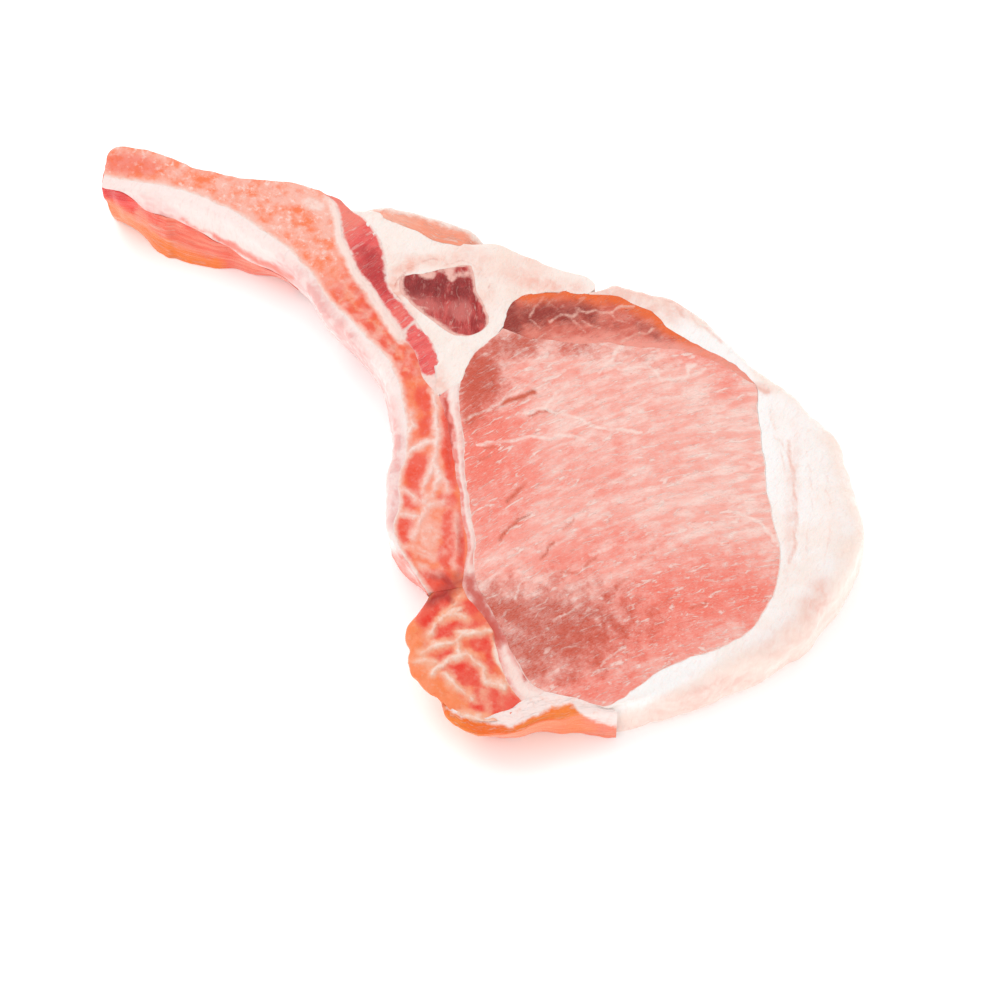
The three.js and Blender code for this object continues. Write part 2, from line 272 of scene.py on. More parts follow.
# %% Random fields
LATTICE_SIDE = 256
LATTICE = np.random.default_rng(20).uniform(-1.0, 1.0, (LATTICE_SIDE, LATTICE_SIDE))
SEED_SHIFT = 13.37
SLOW_CELL, SLOW_BEND = 5.0, 0.45
QUICK_CELL, QUICK_BEND = 1.7, 0.18
LUMP_CELL, LUMP_HEIGHT = 13.0, 0.35
PIT_CELL, PIT_HEIGHT = 3.0, 0.12


def cloud(plan, size, seed):
    """Smooth random field from -1 to 1: fixed random values on the corners of square cells of this size,
    eased from corner to corner."""
    place = np.asarray(plan, float) / size + SEED_SHIFT * seed
    corner = np.floor(place).astype(int)
    part = place - corner
    part = part * part * (3.0 - 2.0 * part)
    i, j = corner[:, 0] % LATTICE_SIDE, corner[:, 1] % LATTICE_SIDE
    i_next, j_next = (i + 1) % LATTICE_SIDE, (j + 1) % LATTICE_SIDE
    near = LATTICE[i, j] + (LATTICE[i_next, j] - LATTICE[i, j]) * part[:, 0]
    far = LATTICE[i, j_next] + (LATTICE[i_next, j_next] - LATTICE[i, j_next]) * part[:, 0]
    return near + (far - near) * part[:, 1]


def rough_cloud(plan, size, seed):
    """Cloud with finer clouds on it: sizes 1, 1/2 and 1/4 in the shares 4, 2 and 1 of 7."""
    broad = 4.0 * cloud(plan, size, seed) + 2.0 * cloud(plan, size / 2.0, seed + 31)
    return (broad + cloud(plan, size / 4.0, seed + 62)) / 7.0


def drift(plan):
    """Plan with every boundary bent a little: moved by two clouds of slow cells and two of quick cells."""
    slow = np.column_stack([cloud(plan, SLOW_CELL, 1), cloud(plan, SLOW_CELL, 2)])
    quick = np.column_stack([cloud(plan, QUICK_CELL, 3), cloud(plan, QUICK_CELL, 4)])
    return plan + SLOW_BEND * slow + QUICK_BEND * quick


def lumps(plan):
    """Low unevenness of the sawn face: a broad cloud for its lumps, and a fine rough one for its pits."""
    return LUMP_HEIGHT * cloud(plan, LUMP_CELL, 5) + PIT_HEIGHT * rough_cloud(plan, PIT_CELL, 6)


sample = np.random.default_rng(1).uniform(-50.0, 50.0, (4000, 2))
bends = np.linalg.norm(drift(sample) - sample, axis=1)
print("boundaries bend by", round(float(bends.max()), 2), "mm at most")

# %% [markdown]
# ## Blocks and a ring
#
# A muscle in the slice is a block whose two long sides follow two outlines. A cube could be pushed into
# shape with modifiers, but a grid of its three parameters says it more plainly: u along, v across and w up.
# The wedge of fat goes all round a small muscle, so it is a ring: the same thing with its ends joined.

# %% Blocks
def block_shell(along, across, up):
    """Skin of a lattice of along x across x up cells: its points' u, v, w from 0 to 1, and its faces."""
    number = np.full((along + 1, across + 1, up + 1), -1)
    i, j, k = np.indices(number.shape)
    skin = (i == 0) | (i == along) | (j == 0) | (j == across) | (k == 0) | (k == up)
    number[skin] = np.arange(skin.sum())

    def sheet(part, turned):
        """Quads of one side, walked so that they face outwards."""
        quads = np.stack([part[:-1, :-1], part[1:, :-1], part[1:, 1:], part[:-1, 1:]], -1).reshape(-1, 4)
        return quads[:, ::-1] if turned else quads

    faces = np.concatenate([
        sheet(number[:, :, up], False), sheet(number[:, :, 0], True),
        sheet(number[0], True), sheet(number[along], False),
        sheet(number[:, 0], False), sheet(number[:, across], True),
    ])
    return i[skin] / along, j[skin] / across, k[skin] / up, faces


def block(near, far, across, up, spread=1.0):
    """Block between two lines of equally many points: plan = near(u) + v (far(u) - near(u)), with v crowded
    towards the far side by 1 - (1 - v) ** spread."""
    along = len(near) - 1
    u, v, w, faces = block_shell(along, across, up)
    v = 1.0 - (1.0 - v) ** spread
    step = np.rint(u * along).astype(int)
    gap = (far - near)[step]
    middle = (near + far) / 2.0
    length = np.linalg.norm(np.diff(middle, axis=0), axis=1).sum()
    width = np.linalg.norm(gap, axis=1)
    plan = near[step] + gap * v[:, None]
    return SimpleNamespace(u=u, v=v, w=w, faces=faces, step=step, plan=plan, width=width, length=length)


print("a small block has", len(block_shell(4, 3, 2)[3]), "faces")


# %% Ring
def ring(inner, outer, across, up):
    """Ring between two closed loops: the four sides of its section are walked at every step around."""
    around = len(inner)
    rise = np.arange(across) / across
    climb = np.arange(up) / up
    v_round = np.concatenate([rise, np.ones(up), 1.0 - rise, np.zeros(up)])
    w_round = np.concatenate([np.zeros(across), climb, np.ones(across), 1.0 - climb])
    number = np.arange(around * len(v_round)).reshape(around, -1)
    ahead = np.roll(number, -1, axis=0)
    faces = np.stack([number, np.roll(number, -1, axis=1), np.roll(ahead, -1, axis=1), ahead], -1)
    v = np.tile(v_round, around)
    w = np.tile(w_round, around)
    step = np.repeat(np.arange(around), len(v_round))
    gap = (outer - inner)[step]
    width = np.linalg.norm(gap, axis=1)
    plan = inner[step] + gap * v[:, None]
    faces = faces.reshape(-1, 4)
    return SimpleNamespace(u=step / around, v=v, w=w, faces=faces, step=step, plan=plan, width=width)


square = np.array([[-1.0, -1.0], [1.0, -1.0], [1.0, 1.0], [-1.0, 1.0]])
print("a ring round a square hole has", len(ring(square, 2.0 * square, 3, 2).faces), "faces")

# %% Edges of a piece
CREASE_DEPTH, CREASE_REACH = 0.05, 0.6
FACE_MARGIN = 1.2


def rim_of(shape, near=True, far=True, ends=True):
    """Distance in to the closest of the chosen edges of a block."""
    rim = np.full(len(shape.u), np.inf)
    if near:
        rim = np.minimum(rim, shape.v * shape.width)
    if far:
        rim = np.minimum(rim, (1.0 - shape.v) * shape.width)
    if ends:
        rim = np.minimum(rim, np.minimum(shape.u, 1.0 - shape.u) * shape.length)
    return rim


def crease(rim, depth=CREASE_DEPTH, reach=CREASE_REACH):
    """Groove beside a boundary: depth times e to the minus (rim / reach) squared."""
    return depth * np.exp(-((rim / reach) ** 2))


def uneven_face(plan, rim, height, cell, seed, margin=FACE_MARGIN):
    """A piece's own unevenness: a rough cloud of this height and cell size, eased in over the margin."""
    return height * rough_cloud(plan, cell, seed) * ease(0.0, margin, rim)


def rounded(distance, radius):
    """Drop of a quarter-round edge: the radius less the height of a circle at that distance in."""
    inward = np.clip(1.0 - distance / np.maximum(radius, 1e-6), 0.0, 1.0)
    return radius * (1.0 - np.sqrt(1.0 - inward * inward))


print("a quarter-round of 2 mm drops by", rounded(np.array([0.0, 1.0, 2.0]), 2.0).round(2), "mm")

# %% [markdown]
# ## Listed marks
#
# White veins, slits and patches of colour lie where they lie in this one chop; the slits are painted with
# shade. They are given as short lines and tilted ovals in the photograph's pixels. Painting an image would
# hold them too, but marks that are worked out for each vertex from its plan place go right through the slice,
# as veins do. Lines are stored as a straight slope down from the line, and the finish cuts that slope to a
# ragged edge finer than the mesh.

# %% Lines, ovals and beads
WANDER_CELL, WANDER_BEND = 9.0, 2.4
OVAL_CELL, OVAL_WAVER = 13.0, 0.22
BEAD_CELL, BEAD_WAVER = 8.0, 0.3


def wander(spot):
    """Pixels bent by two clouds, so that drawn lines aren't straight."""
    return spot + WANDER_BEND * np.column_stack([cloud(spot, WANDER_CELL, 7), cloud(spot, WANDER_CELL, 8)])


def closeness(spot, lines, reach):
    """Closeness to drawn lines: a line's strength on it, falling straight to 0 at the reach in pixels. The
    distance to a straight stretch is that to start + t (stop - start), with t cut to 0..1."""
    spot = wander(spot)
    closest = np.zeros(len(spot))
    for strength, line in lines:
        line = np.array(line, float)
        for start, stop in zip(line[:-1], line[1:]):
            way = stop - start
            t = np.clip((spot - start) @ way / (way @ way), 0.0, 1.0)
            gap = np.linalg.norm(spot - start - t[:, None] * way, axis=1)
            closest = np.maximum(closest, strength * (1.0 - gap / reach))
    return closest


def blots(spot, ovals, soft=0.5):
    """Mask of ovals given as pixel x, pixel y, half width, half height, tilt in degrees and strength: the
    distance from the middle, counted in half widths and wavering a little, eased from 1 to 0 over the soft
    share of the edge."""
    waver = OVAL_WAVER * rough_cloud(spot, OVAL_CELL, 9)
    total = np.zeros(len(spot))
    for x, y, half_width, half_height, tilt, strength in ovals:
        c, s = np.cos(np.radians(tilt)), np.sin(np.radians(tilt))
        dx, dy = spot[:, 0] - x, spot[:, 1] - y
        reach = np.hypot((c * dx + s * dy) / half_width, (c * dy - s * dx) / half_height) + waver
        total = np.maximum(total, strength * (1.0 - ease(1.0 - soft, 1.0 + soft, reach)))
    return total


def domes(spot, beads):
    """Round bumps given as pixel x, pixel y and radius: the height of a half ball of radius 1 at the distance
    from the nearest middle, counted in radii, with a wavering rim."""
    waver = BEAD_WAVER * rough_cloud(spot, BEAD_CELL, 33)
    total = np.zeros(len(spot))
    for x, y, radius in beads:
        away = np.hypot(spot[:, 0] - x, spot[:, 1] - y) / radius + waver
        total = np.maximum(total, np.sqrt(np.maximum(0.0, 1.0 - away * away)))
    return total


row = np.array([[4.0, 20.0], [4.0, 26.0], [4.0, 60.0]])
print("closeness to a level line:", closeness(row, [(1.0, [(0, 20), (60, 20)])], 10.0).round(2))


# %% Slopes, bells and fibres
def bump_at(value, middle, width):
    """Bell 1 high at the middle: e to the minus square of the distance from it, counted in widths."""
    return np.exp(-(((value - middle) / width) ** 2))


def slope_in(distance, reach):
    """Closeness to an edge: 1 on it, falling straight to 0 at the reach in millimetres."""
    return np.clip(1.0 - distance / reach, 0.0, 1.0)


def fibre_place(plan, height):
    """Place along and across the muscle fibres and the height, in millimetres. Seen by the camera, fibres run
    nearly level at the right and turn down to the left: the slope is a straight line in the place along, and
    across is what is left after its integral."""
    ahead = (plan - AIM[:2]) @ ACROSS[:2]
    beyond = (plan - AIM[:2]) @ AWAY[:2]
    slope_right, turning, right_end = 0.16, 0.0069, 60.0
    fall = slope_right * ahead + turning * (right_end * ahead - ahead * ahead / 2.0)
    return np.column_stack([ahead, beyond - fall, height])


print("fibre place of the aim point:", np.round(fibre_place(AIM[None, :2], AIM[2:])[0], 1))

# %% [markdown]
# ## Putting a piece into Blender
#
# Every piece goes in the same way: the points and faces become a mesh at the origin, the marks become
# attributes on its points for the finish to read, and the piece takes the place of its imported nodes.
# Edges sharper than sixty degrees stay crisp, and the rest is shaded smooth.

# %% Piece maker
CRISP_ANGLE = np.radians(60.0)


def make_piece(name, nodes, slot, finish, points, faces, **marks):
    """Mesh piece from points in millimetres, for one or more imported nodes, with one attribute a mark."""
    mesh = bpy.data.meshes.new(name)
    mesh.from_pydata((points * MM).tolist(), [], faces.tolist())
    mesh.polygons.foreach_set("use_smooth", np.ones(len(faces), bool))
    mesh.set_sharp_from_angle(angle=CRISP_ANGLE)
    for label, values in marks.items():
        kind, field = ("FLOAT_VECTOR", "vector") if values.ndim == 2 else ("FLOAT", "value")
        mark = mesh.attributes.new(label, kind, "POINT")
        mark.data.foreach_set(field, np.ascontiguousarray(values, dtype=np.float32).ravel())
    mesh.materials.append(finish)
    mesh.update()
    piece = bpy.data.objects.new(name, mesh)
    bpy.context.scene.collection.objects.link(piece)
    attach(piece, "root")
    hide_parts(*nodes)
    size = points.max(0) - points.min(0)
    print(name, len(faces), "faces,", "x".join(f"{edge:.1f}" for edge in size), "mm")


print("crisp edges from", round(float(np.degrees(CRISP_ANGLE))), "degrees")

# %% [markdown]
# ## Nodes in few words
#
# A finish is a tree of shader nodes. Adding each by hand takes many lines, so these helpers add a node, fill
# its sockets and hand back an output. Colours are given as the photograph shows them. They are turned into
# base colours by undoing the screen curve, taking off the shine and dividing by the light on the face. The
# level of that light was found for red, green and blue by comparing renders with the photograph.

# %% Colours as the photograph shows them
LIGHT_LEVEL = np.array([1.43, 1.5, 1.5])
SHINE_LEVEL = 0.05
DARKEST = 0.004


def seen(red, green, blue):
    """Base colour of a surface that shows as this 8-bit colour: the screen curve undone, less the shine of
    the white room, over the light."""
    value = np.array([red, green, blue]) / 255.0
    linear = np.where(value <= 0.04045, value / 12.92, ((value + 0.055) / 1.055) ** 2.4)
    base = np.maximum(linear - SHINE_LEVEL, DARKEST) / LIGHT_LEVEL
    return tuple(float(part) for part in base) + (1.0,)


print("pale lean as a base colour:", np.round(seen(251, 184, 171)[:3], 2))


# %% Nodes and sums
def fill(tree, node, inputs):
    """Sets a node's inputs. One given as an output socket is linked, and anything else is its value."""
    for label, value in inputs.items():
        if isinstance(value, bpy.types.NodeSocket):
            tree.links.new(value, node.inputs[label])
        else:
            node.inputs[label].default_value = value


def put(tree, kind, inputs, **settings):
    """Adds a node with these settings and inputs."""
    node = tree.nodes.new("ShaderNode" + kind)
    for label, value in settings.items():
        setattr(node, label, value)
    fill(tree, node, inputs)
    return node


def mix(tree, amount, first, second):
    """Colour between two others."""
    return put(tree, "Mix", {0: amount, 6: first, 7: second}, data_type="RGBA").outputs[2]


def calc(tree, operation, first, second):
    """Arithmetic on two values."""
    return put(tree, "Math", {0: first, 1: second}, operation=operation).outputs[0]


def scaled(tree, value, times, plus):
    """A value times one number, plus another."""
    return put(tree, "Math", {0: value, 1: times, 2: plus}, operation="MULTIPLY_ADD").outputs[0]


def band(tree, value, start, stop):
    """Eased 0 to 1 as a value goes from start to stop."""
    inputs = {"Value": value, "From Min": start, "From Max": stop}
    return put(tree, "MapRange", inputs, interpolation_type="SMOOTHSTEP").outputs["Result"]


def mark_of(tree, label):
    """Value of one of the piece's marks."""
    return put(tree, "Attribute", {}, attribute_name=label).outputs["Fac"]


def place_of(tree):
    """Object coordinates in millimetres."""
    place = put(tree, "TexCoord", {}).outputs["Object"]
    return put(tree, "VectorMath", {0: place, "Scale": 1.0 / MM}, operation="SCALE").outputs[0]


def speckle(tree, place, size, detail=3.0, rough=0.55):
    """Noise with features of about this size in millimetres, from 0 to 1."""
    inputs = {"Vector": place, "Scale": 1.0 / size, "Detail": detail, "Roughness": rough}
    return put(tree, "TexNoise", inputs).outputs["Fac"]


print("node helpers:", ", ".join(helper.__name__ for helper in (put, mix, calc, scaled, band, speckle)))

# %% Start and end of a finish, and groups
FLESH_RADIUS = (1.0, 0.4, 0.3)
FLESH_DEPTH = 1.2
SHINE = 0.25
COAT_ROUGHNESS = 0.22


def start_finish(name):
    """New material with an empty tree."""
    material = bpy.data.materials.new(name)
    material.use_nodes = True
    material.node_tree.nodes.clear()
    return material, material.node_tree


def end_finish(tree, colour, roughness, height, relief, flesh, coat):
    """Principled shader with a bump. Flesh is the share of light that goes under the surface."""
    bump = put(tree, "Bump", {"Height": height, "Strength": 1.0, "Distance": relief * MM}).outputs[0]
    inputs = {"Base Color": colour, "Roughness": roughness, "Normal": bump}
    shader = put(tree, "BsdfPrincipled", inputs)
    shader.inputs["Subsurface Weight"].default_value = flesh
    shader.inputs["Subsurface Radius"].default_value = FLESH_RADIUS
    shader.inputs["Subsurface Scale"].default_value = FLESH_DEPTH * MM
    shader.inputs["Specular IOR Level"].default_value = SHINE
    shader.inputs["Coat Weight"].default_value = coat
    shader.inputs["Coat Roughness"].default_value = COAT_ROUGHNESS
    put(tree, "OutputMaterial", {"Surface": shader.outputs[0]})


def new_group(name, inputs, outputs):
    """Node group with named value, vector or colour sockets."""
    group = bpy.data.node_groups.new(name, "ShaderNodeTree")
    for label, kind in inputs.items():
        group.interface.new_socket(label, in_out="INPUT", socket_type="NodeSocket" + kind)
    for label, kind in outputs.items():
        group.interface.new_socket(label, in_out="OUTPUT", socket_type="NodeSocket" + kind)
    return group, group.nodes.new("NodeGroupInput").outputs, group.nodes.new("NodeGroupOutput").inputs


def use(tree, group, inputs):
    """Places a group in a tree."""
    node = tree.nodes.new("ShaderNodeGroup")
    node.node_tree = group
    fill(tree, node, inputs)
    return node.outputs


print("light goes", FLESH_DEPTH, "mm deep into the flesh")

# %% [markdown]
# ## Shared effects
#
# Three effects come back in several finishes, so each is a node group. Muscle fibres are long soft streaks
# with a fine grain and short pale flecks of fat. A ragged mark cuts one of the piece's marks to an edge that
# wavers, as fat does along a vein or a rim. Fat has soft clouds of cream and fine wrinkles.

# %% Muscle fibres
FIBRES, taken, given = new_group(
    "Muscle fibres",
    {"Place": "Vector", "Length": "Float", "Width": "Float"},
    {"Streak": "Float", "Grain": "Float", "Fleck": "Float", "Height": "Float"},
)
long_rate = calc(FIBRES, "DIVIDE", 1.0, taken["Length"])
wide_rate = calc(FIBRES, "DIVIDE", 1.0, taken["Width"])
rates = put(FIBRES, "CombineXYZ", {"X": long_rate, "Y": wide_rate, "Z": wide_rate}).outputs[0]
stretched = put(FIBRES, "VectorMath", {0: taken["Place"], 1: rates}, operation="MULTIPLY").outputs[0]
streak = put(
    FIBRES, "TexNoise",
    {"Vector": stretched, "Scale": 1.0, "Detail": 3.0, "Roughness": 0.5, "Distortion": 0.5},
).outputs["Fac"]
grain = put(
    FIBRES, "TexNoise",
    {"Vector": stretched, "Scale": 3.4, "Detail": 5.0, "Roughness": 0.68, "Distortion": 0.3},
).outputs["Fac"]
shifted = put(FIBRES, "VectorMath", {0: stretched, 1: (7.3, 3.1, 5.7)}, operation="ADD").outputs[0]
fleck = put(
    FIBRES, "TexNoise",
    {"Vector": shifted, "Scale": 1.8, "Detail": 4.0, "Roughness": 0.6, "Distortion": 0.7},
).outputs["Fac"]
fleck_mask = band(FIBRES, fleck, 0.56, 0.66)
height = scaled(FIBRES, fleck_mask, 0.3, scaled(FIBRES, grain, 0.5, streak))
FIBRES.links.new(band(FIBRES, streak, 0.32, 0.68), given["Streak"])
FIBRES.links.new(grain, given["Grain"])
FIBRES.links.new(fleck_mask, given["Fleck"])
FIBRES.links.new(height, given["Height"])
print("group", FIBRES.name, "with", len(FIBRES.nodes), "nodes")

# %% Ragged mark
RAGGED, taken, given = new_group(
    "Ragged mark",
    {
        "Place": "Vector", "Mark": "Float", "Edge": "Float",
        "Soft": "Float", "Ragged": "Float", "Grain": "Float",
    },
    {"Mask": "Float"},
)
grain_rate = calc(RAGGED, "DIVIDE", 1.0, taken["Grain"])
waver = put(
    RAGGED, "TexNoise",
    {"Vector": taken["Place"], "Scale": grain_rate, "Detail": 4.0, "Roughness": 0.62},
).outputs["Fac"]
uneven = calc(RAGGED, "SUBTRACT", waver, 0.5)
level = scaled(RAGGED, uneven, taken["Ragged"], taken["Mark"])
low_edge = calc(RAGGED, "SUBTRACT", taken["Edge"], taken["Soft"])
high_edge = calc(RAGGED, "ADD", taken["Edge"], taken["Soft"])
RAGGED.links.new(band(RAGGED, level, low_edge, high_edge), given["Mask"])
print("group", RAGGED.name, "with", len(RAGGED.nodes), "nodes")

# %% Fat grain
FAT_GRAIN, taken, given = new_group(
    "Fat grain",
    {"Place": "Vector", "Size": "Float"},
    {"Cloud": "Float", "Wrinkle": "Float", "Height": "Float"},
)
size_rate = calc(FAT_GRAIN, "DIVIDE", 1.0, taken["Size"])
soft = put(
    FAT_GRAIN, "TexNoise",
    {"Vector": taken["Place"], "Scale": size_rate, "Detail": 4.0, "Roughness": 0.55, "Distortion": 0.4},
).outputs["Fac"]
pull = put(
    FAT_GRAIN, "VectorMath", {0: taken["Place"], 1: (1.0, 0.35, 0.2)}, operation="MULTIPLY"
).outputs[0]
wrinkle_rate = calc(FAT_GRAIN, "MULTIPLY", size_rate, 4.0)
fold = put(
    FAT_GRAIN, "TexNoise",
    {"Vector": pull, "Scale": wrinkle_rate, "Detail": 3.0, "Roughness": 0.6, "Distortion": 0.6},
).outputs["Fac"]
FAT_GRAIN.links.new(band(FAT_GRAIN, soft, 0.32, 0.70), given["Cloud"])
FAT_GRAIN.links.new(band(FAT_GRAIN, fold, 0.52, 0.70), given["Wrinkle"])
FAT_GRAIN.links.new(calc(FAT_GRAIN, "ADD", soft, fold), given["Height"])
print("group", FAT_GRAIN.name, "with", len(FAT_GRAIN.nodes), "nodes")

# %% [markdown]
# ## Lean finish
#
# Raw lean is wet and slightly clear. Its colour runs from a pale pink in the middle of the loin to a deep
# brown-red in the small muscles. All lean pieces share one tree with their own colours: streaks and grain
# first, then warm and deep patches, dashes of painted shade, pale flecks, slits painted with shade, veins of
# fat, and a ragged rim of fat.

# %% Lean finish
FINE_SHARE = 0.4


def lean_finish(
    name, pale, streak, warm, deep, slit, fat, fibre, flecks=0.6, rim=None, fade=None, gloss=0.42
):
    """Lean over the fibre group. Fibre is its length and width in millimetres and flecks how white its flecks
    are. Rim is the closeness to the edge at which fat covers the rim, and fade is the colour that the piece
    passes into where it is marked. A mark that a piece doesn't have reads as 0."""
    material, tree = start_finish(name)
    place = place_of(tree)
    path = put(tree, "Attribute", {}, attribute_name="fibre").outputs["Vector"]
    broad = use(tree, FIBRES, {"Place": path, "Length": fibre[0], "Width": fibre[1]})
    small = {"Length": fibre[0] * FINE_SHARE, "Width": fibre[1] * FINE_SHARE}
    fine = use(tree, FIBRES, {"Place": path, **small})
    mottle = speckle(tree, place, 3.0, 6.0, 0.68)
    uneven = calc(tree, "SUBTRACT", mottle, 0.5)

    def patch(label, amount, start, stop):
        """One of the piece's patches, with the mottle added to it and cut between start and stop."""
        return band(tree, scaled(tree, uneven, amount, mark_of(tree, label)), start, stop)

    def drawn(label, edge, soft, ragged, grain):
        """One of the piece's lines, cut to a ragged edge."""
        inputs = {"Place": place, "Mark": mark_of(tree, label), "Edge": edge, "Soft": soft}
        return use(tree, RAGGED, {**inputs, "Ragged": ragged, "Grain": grain})["Mask"]

    grainy = band(tree, fine["Grain"], 0.38, 0.72)
    colour = mix(tree, broad["Streak"], pale, streak)
    colour = mix(tree, calc(tree, "MULTIPLY", grainy, 0.6), colour, streak)
    if fade:
        colour = mix(tree, patch("fade", 1.2, 0.2, 0.9), colour, fade)
    speckled = scaled(tree, grainy, 0.3, 0.74)
    colour = mix(tree, calc(tree, "MULTIPLY", patch("warm", 1.1, 0.05, 1.0), speckled), colour, warm)
    depth = patch("deep", 1.4, 0.12, 0.95)
    colour = mix(tree, calc(tree, "MULTIPLY", depth, speckled), colour, deep)
    # Dark dashes along the grain: painted shade in fine cracks between the fibres, in the slit shade colour.
    shade_dashes = calc(tree, "MULTIPLY", band(tree, broad["Grain"], 0.40, 0.28), 0.5)
    colour = mix(tree, shade_dashes, colour, slit)
    whiteness = scaled(tree, depth, -0.6 * flecks, flecks)
    colour = mix(tree, calc(tree, "MULTIPLY", broad["Fleck"], whiteness), colour, fat)
    small_fleck = calc(tree, "MULTIPLY", fine["Fleck"], calc(tree, "MULTIPLY", whiteness, 0.6))
    colour = mix(tree, small_fleck, colour, fat)
    # Marked slits: painted shade in the cracks, in the slit shade colour.
    colour = mix(tree, drawn("slit", 0.66, 0.3, 0.5, 1.0), colour, slit)
    strength = scaled(tree, band(tree, speckle(tree, place, 2.6), 0.30, 0.56), 0.5, 0.35)
    colour = mix(tree, calc(tree, "MULTIPLY", drawn("vein", 0.76, 0.2, 0.55, 0.9), strength), colour, fat)
    if rim:
        colour = mix(tree, drawn("rim", rim, 0.22, 0.8, 1.8), colour, fat)
    wet = scaled(tree, mottle, 0.3, gloss - 0.15)
    rise = scaled(tree, fine["Height"], 0.5, broad["Height"])
    end_finish(tree, colour, wet, rise, relief=0.25, flesh=0.1, coat=0.08)
    return material


LOIN = lean_finish(
    "Pale loin lean", pale=seen(255, 226, 216), streak=seen(252, 184, 171), warm=seen(249, 126, 108),
    deep=seen(202, 92, 74), slit=seen(218, 114, 92), fat=seen(255, 232, 222), fibre=(6.0, 2.0), flecks=0.7,
    rim=0.72,
)
print("finish", LOIN.name)

# %% [markdown]
# ## The eye of the loin
#
# The loin muscle is the large pale oval. It bulges slightly when the saw lets it go, its fibres sweep from
# level at the right to sloping at the left, and its near end is browner. A thin white rim goes round it,
# except towards the cap and along a dark stretch of the seam. A sculpted disc could stand for it, but the two
# outlines give its true shape, and the far end is bent to meet the cap.

# %% Marks of the eye
EYE_VEINS = [
    (1.00, [(525, 415), (542, 410), (560, 415), (580, 420), (595, 430), (610, 432), (638, 433)]),
    (0.90, [(542, 410), (552, 400), (557, 391)]),
    (1.00, [(477, 446), (500, 442), (530, 440), (555, 439), (585, 441)]),
    (0.85, [(462, 420), (477, 414), (487, 412)]),
    (0.90, [(487, 412), (500, 405), (515, 395), (527, 387)]),
    (0.95, [(598, 373), (607, 363), (617, 350), (625, 342), (632, 340)]),
    (0.80, [(600, 345), (617, 350)]),
    (0.90, [(625, 342), (640, 345), (653, 347)]),
    (0.95, [(617, 368), (633, 369), (650, 368), (657, 372), (662, 382)]),
    (0.95, [(662, 382), (677, 378), (690, 375), (703, 370)]),
    (1.00, [(687, 373), (688, 367), (694, 364)]),
    (0.75, [(515, 365), (530, 358), (545, 353), (560, 348)]),
    (0.75, [(520, 373), (540, 366), (560, 360), (577, 357)]),
    (0.70, [(556, 375), (572, 367), (587, 362)]),
    (0.75, [(522, 352), (537, 346), (552, 344)]),
    (0.70, [(590, 356), (600, 351)]),
    (0.75, [(697, 426), (715, 418)]),
    (0.70, [(683, 438), (705, 432)]),
    (0.95, [(735, 513), (748, 517), (760, 523), (768, 533), (775, 540)]),
    (0.80, [(690, 550), (697, 547), (706, 548)]),
    (0.75, [(618, 505), (635, 503), (650, 500)]),
    (0.75, [(635, 508), (660, 514)]),
    (0.80, [(590, 558), (605, 552), (617, 547)]),
    (0.85, [(516, 600), (520, 588), (527, 581)]),
    (0.85, [(555, 622), (570, 616), (582, 608)]),
    (0.75, [(700, 585), (705, 578), (714, 577)]),
    (0.70, [(610, 660), (630, 652), (648, 650)]),
    (0.70, [(640, 600), (668, 592), (690, 590)]),
    (0.80, [(600, 668), (612, 655), (626, 648)]),
]
# Slits in the eye: each is cut a little into the face and painted with shade.
EYE_SLITS = [
    (1.00, [(504, 405), (520, 399), (535, 394)]), (0.80, [(530, 417), (545, 413), (556, 414)]),
    (0.90, [(464, 419), (480, 413)]), (0.70, [(485, 449), (495, 447)]), (0.70, [(478, 458), (490, 456)]),
    (0.85, [(507, 502), (515, 494), (525, 486)]), (0.85, [(500, 540), (510, 530), (520, 520), (527, 517)]),
    (0.80, [(540, 560), (548, 550), (553, 545)]), (0.70, [(565, 532), (573, 522)]),
    (0.75, [(585, 570), (595, 560)]), (0.75, [(560, 575), (580, 577)]), (0.7, [(640, 560), (655, 552)]),
    (0.70, [(616, 590), (630, 583)]), (0.70, [(690, 610), (705, 604)]),
]
EYE_WARM = [
    (690, 600, 100, 48, -12, 0.85), (640, 640, 90, 34, -15, 0.8), (500, 470, 46, 100, 0, 0.75),
    (478, 400, 30, 66, 0, 0.8), (545, 375, 84, 34, 0, 0.38), (745, 598, 28, 18, 0, 1.0),
    (600, 690, 80, 26, -10, 0.75), (690, 350, 60, 16, 20, 0.6), (730, 385, 24, 20, 40, 0.55),
    (590, 555, 100, 34, -12, 0.6), (590, 470, 110, 50, -10, 0.45), (740, 570, 30, 34, 0, 0.4),
    (600, 400, 100, 30, 0, 0.3), (484, 446, 30, 46, 0, 1.2), (488, 520, 24, 44, 0, 0.75),
]
EYE_DEEP = [
    (552, 634, 84, 46, -8, 0.85), (505, 612, 40, 26, 10, 0.85), (612, 630, 56, 30, -15, 0.5),
    (480, 376, 26, 38, 0, 0.95), (468, 410, 12, 30, 0, 0.6), (492, 352, 24, 12, 0, 0.7),
    (514, 345, 32, 16, 0, 0.8), (572, 347, 58, 12, 4, 0.55), (640, 355, 34, 10, 10, 0.3),
]
EYE_BARE = [(486, 614, 20, 44, -32, 1.0)]
print("eye marks:", len(EYE_VEINS), "veins,", len(EYE_SLITS), "slits")

# %% Eye of the loin
EYE_DOME = 1.4
EYE_ALONG, EYE_ACROSS = 240, 170
CELLS_UP = 5
CAP_END = 10
CAP_STRETCH = 4.0
CAP_BEND_FADE = 4
VEIN_REACH, SLIT_REACH = 7.0, 6.0
BUNDLE_LENGTH, BUNDLE_WIDTH = 5.0, 1.4
BUNDLE_RISE, VEIN_RISE, SLIT_DEPTH = 0.1, 0.08, 0.25
EYE_CREASE_DEPTH, EYE_CREASE_REACH = 0.06, 0.7
EYE_RIM_WIDTH = 0.8

